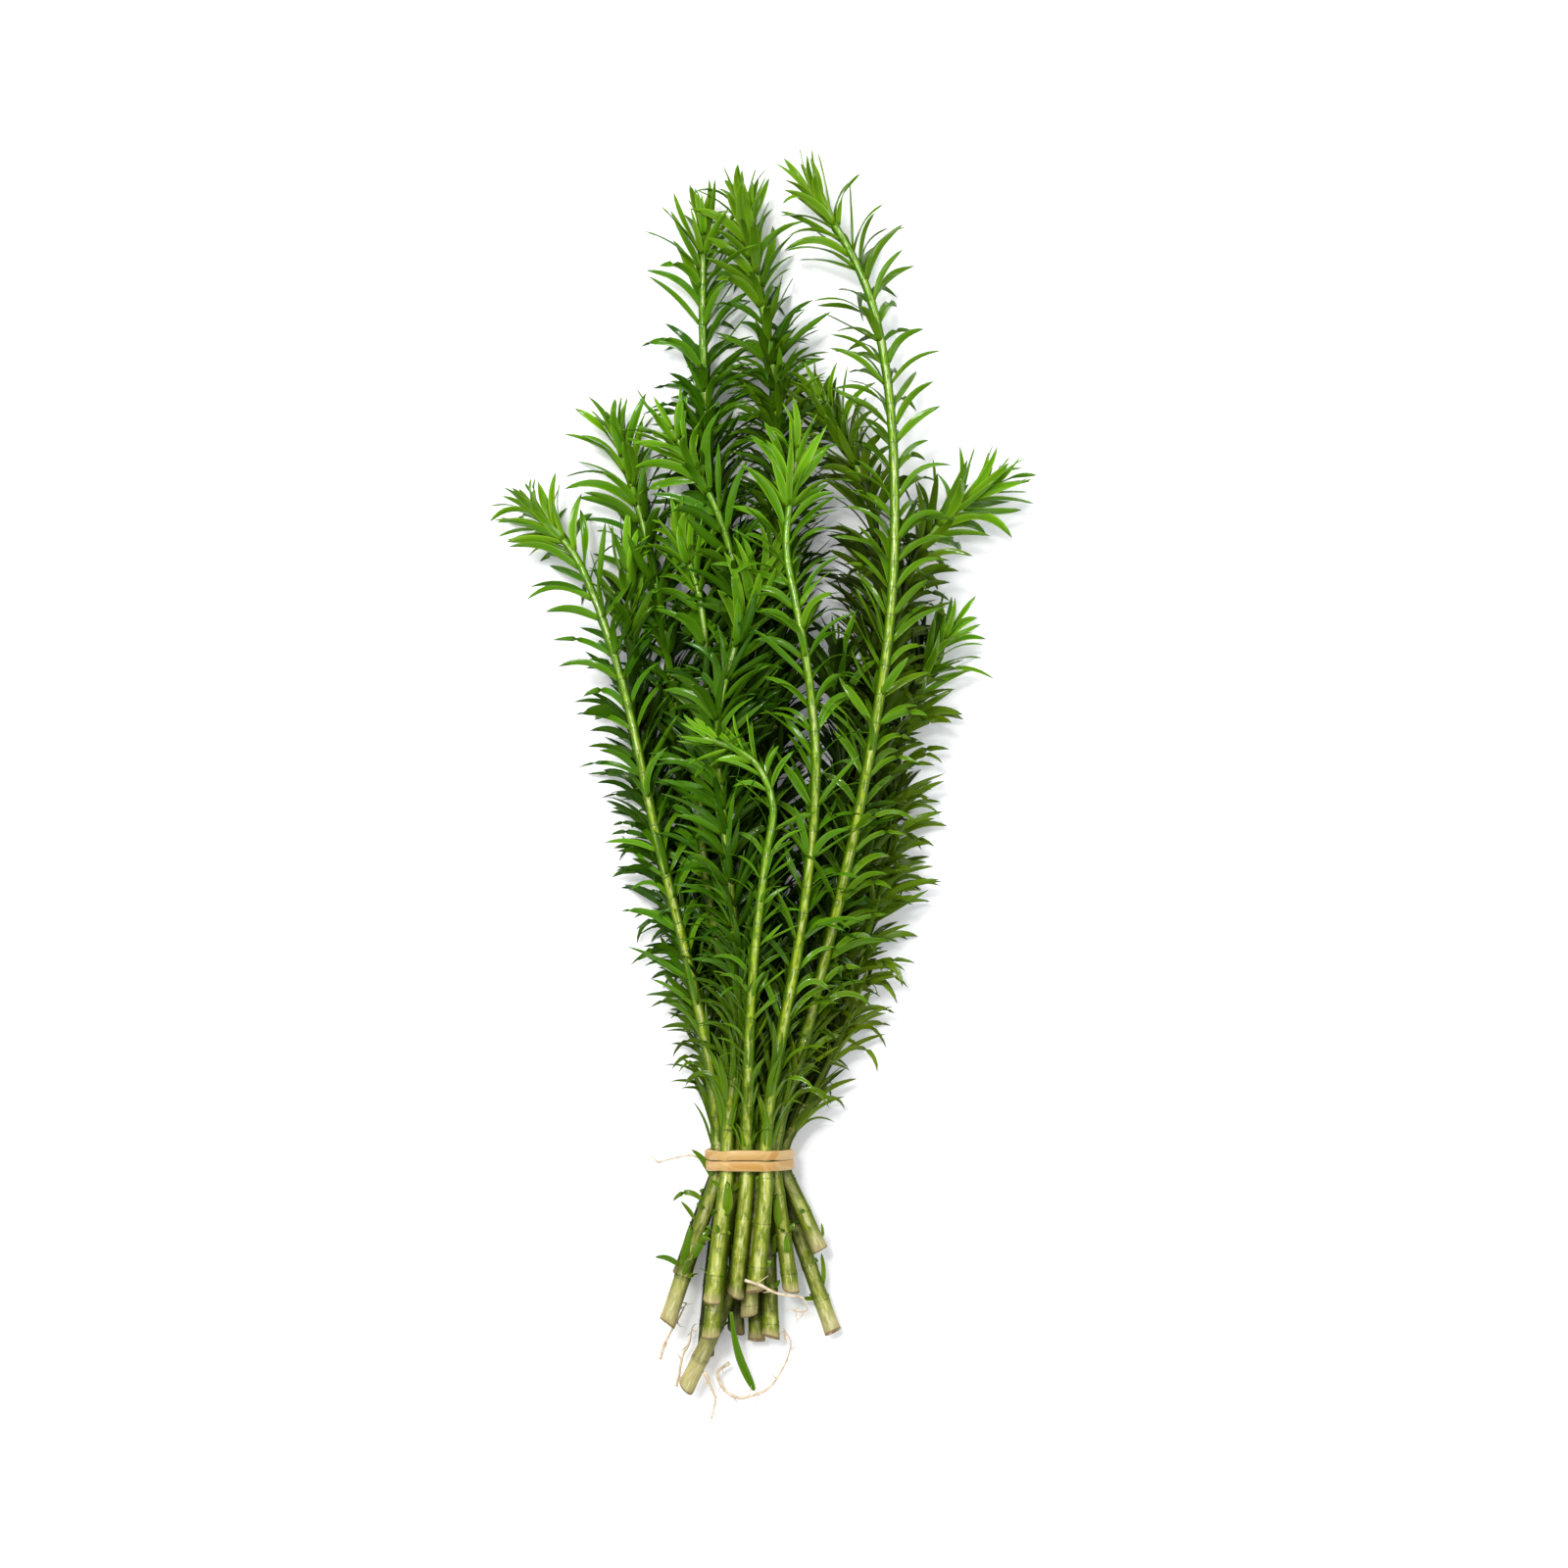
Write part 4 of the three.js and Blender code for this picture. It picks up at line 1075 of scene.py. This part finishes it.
def build_root(name, node, seed):
    """One root with its hairs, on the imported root's centreline."""
    middles, radii, _ = rings_of(node)
    share = np.linspace(0, 1, len(middles))
    wander = chance.normal(0, 0.16 * MM, middles.shape)
    wander[[0, -1]] = 0
    middles = middles + wander
    keep_above(middles, LINE_GAP)
    threads = [(middles, radii * np.interp(share, [0, 0.5, 1], [0.92, 0.7, 0.32]))]
    line = Line(middles, radii, 0.5 * MM)
    hairs_from = np.arange(2, line.length / MM - 1, HAIR_GAP)
    near_end = line.length / MM - np.array([0.2, 0.5, 0.9])
    for start in np.append(hairs_from, near_end) * MM:
        spot = line.at(line.points, np.array([start]))[0]
        away = unit(chance.normal(0, 1, 3) * (1, 1, 0.4))
        reach = chance.uniform(0.8, 2.2) * MM
        bend = chance.normal(0, 0.35, 3) * reach
        hair = np.array([spot, spot + away * reach * 0.5, spot + away * reach + bend])
        keep_above(hair, HAIR_LOWEST)
        threads.append((hair, HAIR_SIZES))
    places, faces, numbers = [], [], []
    first = 0
    for k, (points, sizes_here) in enumerate(threads):
        made = thread_parts(points, sizes_here, first, seed + k)
        places.append(made[0])
        faces += made[1]
        numbers.append(made[2])
        first += len(made[0])
    return make_piece(
        name, np.vstack(places), faces, root_finish, [node], {"thread": np.vstack(numbers)}
    )


for k in range(1, 6):
    root = build_root(f"root_{k:02d}_grown", f"root_{k:02d}", k)
    print(root.name, "has", len(root.data.polygons), "faces")

# %% [markdown]
# ## A stray thread
# One hair-thin thread of root is caught under the band's left end and curls over the table. It has no
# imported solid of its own, so its places are given from the tie, in millimetres.

# %% Stray thread
THREAD_FROM_TIE = [(-7.8, -1.6, 7.0), (-11.0, 0.0, 5.5), (-14.5, -0.7, 3.0)]
THREAD_FROM_TIE += [(-17.6, -1.6, 0.6), (-18.8, -0.6, 0.3)]
THREAD_SEED = 40
thread_points = np.array([(tie.x + x * MM, tie.y + y * MM, z * MM) for x, y, z in THREAD_FROM_TIE])
thread_sizes = np.array([0.17, 0.16, 0.14, 0.13, 0.1]) * MM
places, faces, thread_numbers = thread_parts(thread_points, thread_sizes, 0, THREAD_SEED)
make_piece("stray_thread", places, faces, root_finish, [], {"thread": thread_numbers})
print("a stray thread has", len(faces), "faces")

# %% [markdown]
# ## The fallen leaf
# One leaf has come loose and hangs among the cut ends. It is a whole leaf, a little wider than the
# others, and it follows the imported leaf's centreline and a little beyond.


# %% Fallen leaf
FALLEN_LONGER = 1.5 * MM


def build_fallen_leaf():
    """The fallen leaf, with the same section as the others but a rounder end."""
    middles, _, _ = rings_of("stray_leaf")
    beyond = middles[-1] + unit(middles[-1] - middles[-2]) * FALLEN_LONGER
    beyond[2] = middles[-1, 2]
    line = Line(np.vstack([middles, beyond]), np.full(len(middles) + 1, MM), 0.3 * MM)
    ahead = line.points[-1] - line.points[0]
    share = np.linspace(0, 1, 26)
    spots = line.at(line.points, share[:-1] * line.length)
    along = unit(line.at(line.along, share[:-1] * line.length))
    level = unit(np.cross(along, (0, 0, 1.0)))
    above = np.cross(level, along)
    half = 0.8 * MM * (0.45 + 0.55 * step(0, 0.65, share[:-1])) * (1 - share[:-1] ** 9) ** 0.6
    spread = half[:, None] * SECTION[:, 0]
    rise = np.full((len(spots), 1), 1.3 * MM) * SECTION[:, 1]
    body = spots[:, None] + level[:, None] * spread[..., None] + above[:, None] * rise[..., None]
    places = np.vstack([body.reshape(-1, 3), spots[-1] + along[-1] * 0.4 * MM])
    keep_above(places, LEAF_GAP)
    corners = np.arange(len(spots) * len(SECTION)).reshape(-1, len(SECTION))
    faces = tube(corners[:, ::-1])[:-1] + fan(corners[-1][::-1], len(places) - 1).tolist()
    looks = {"luck": 0.5, "tone": 0.35, "olive": 0.25, "buried": 0.0}
    numbers, _ = blade_numbers(share[:-1], {label: np.array([value]) for label, value in looks.items()})
    print("the fallen leaf is", round(np.linalg.norm(ahead) / MM, 1), "mm from end to end")
    return make_piece("fallen_leaf", places, faces, leaf_finish, ["stray_leaf"], numbers)


build_fallen_leaf()

# %% [markdown]
# ## Table and light
# The table is almost white and matt. Its faint glow is painted light, which keeps the shadows on it
# faint. Soft light comes from all round. A broad lamp at the upper left gives the bunch its faint
# shadow on the right, a small one near it puts glints on what is wet, and a weak one at the right
# softens the shadows.

# %% Table and lights
SKY = (0.96, 0.98, 1, 1)
# half the width of the table, and how far above the tie the lamps are aimed
TABLE_HALF, LIT_FROM_TIE = 3.0, 0.07
# the table glows a little: painted light that lightens the shadows on it
table_finish = Finish("pale_table", Roughness=0.9, Emission_Color=SKY, Emission_Strength=0.1)
spot_on_table = table_finish.node("ShaderNodeTexCoord", output="Object")
cloudy = spot_on_table.noise(3.0, 2.0)
table_finish.set(Base_Color=cloudy.mix((0.93, 0.935, 0.95), (0.95, 0.95, 0.955)))
table_mesh = bpy.data.meshes.new("table")
corners = [(-1, -1), (1, -1), (1, 1), (-1, 1)]
table_mesh.from_pydata([(x * TABLE_HALF, y * TABLE_HALF, 0) for x, y in corners], [], [(0, 1, 2, 3)])
table_mesh.materials.append(table_finish.material)
add_object("table", table_mesh)


def area_light(name, place, size, power, colour):
    """A square lamp that is aimed at the middle of the bunch."""
    lamp = add_object(name, bpy.data.lights.new(name, "AREA"))
    lamp.data.size = size
    lamp.data.energy = power
    lamp.data.color = colour
    lamp.location = place
    aim = Vector((tie.x, tie.y + LIT_FROM_TIE, 0)) - Vector(place)
    lamp.rotation_euler = aim.to_track_quat("-Z", "Y").to_euler()


area_light("key", (-0.4, 0.5, 1.0), 0.6, 11.5, (1.0, 0.99, 0.96))
area_light("glint", (-0.22, 0.32, 1.1), 0.1, 3, (1.0, 1.0, 0.98))
area_light("fill", (0.75, 0.2, 0.7), 0.6, 3, (0.95, 0.98, 1.0))

world = bpy.data.worlds.new("studio")
bpy.context.scene.world = world
world.use_nodes = True
room = world.node_tree.nodes["Background"]
room.inputs["Color"].default_value = SKY
room.inputs["Strength"].default_value = 0.6
bpy.context.scene.view_settings.view_transform = "Standard"
print("three lamps and a pale room light the bunch")
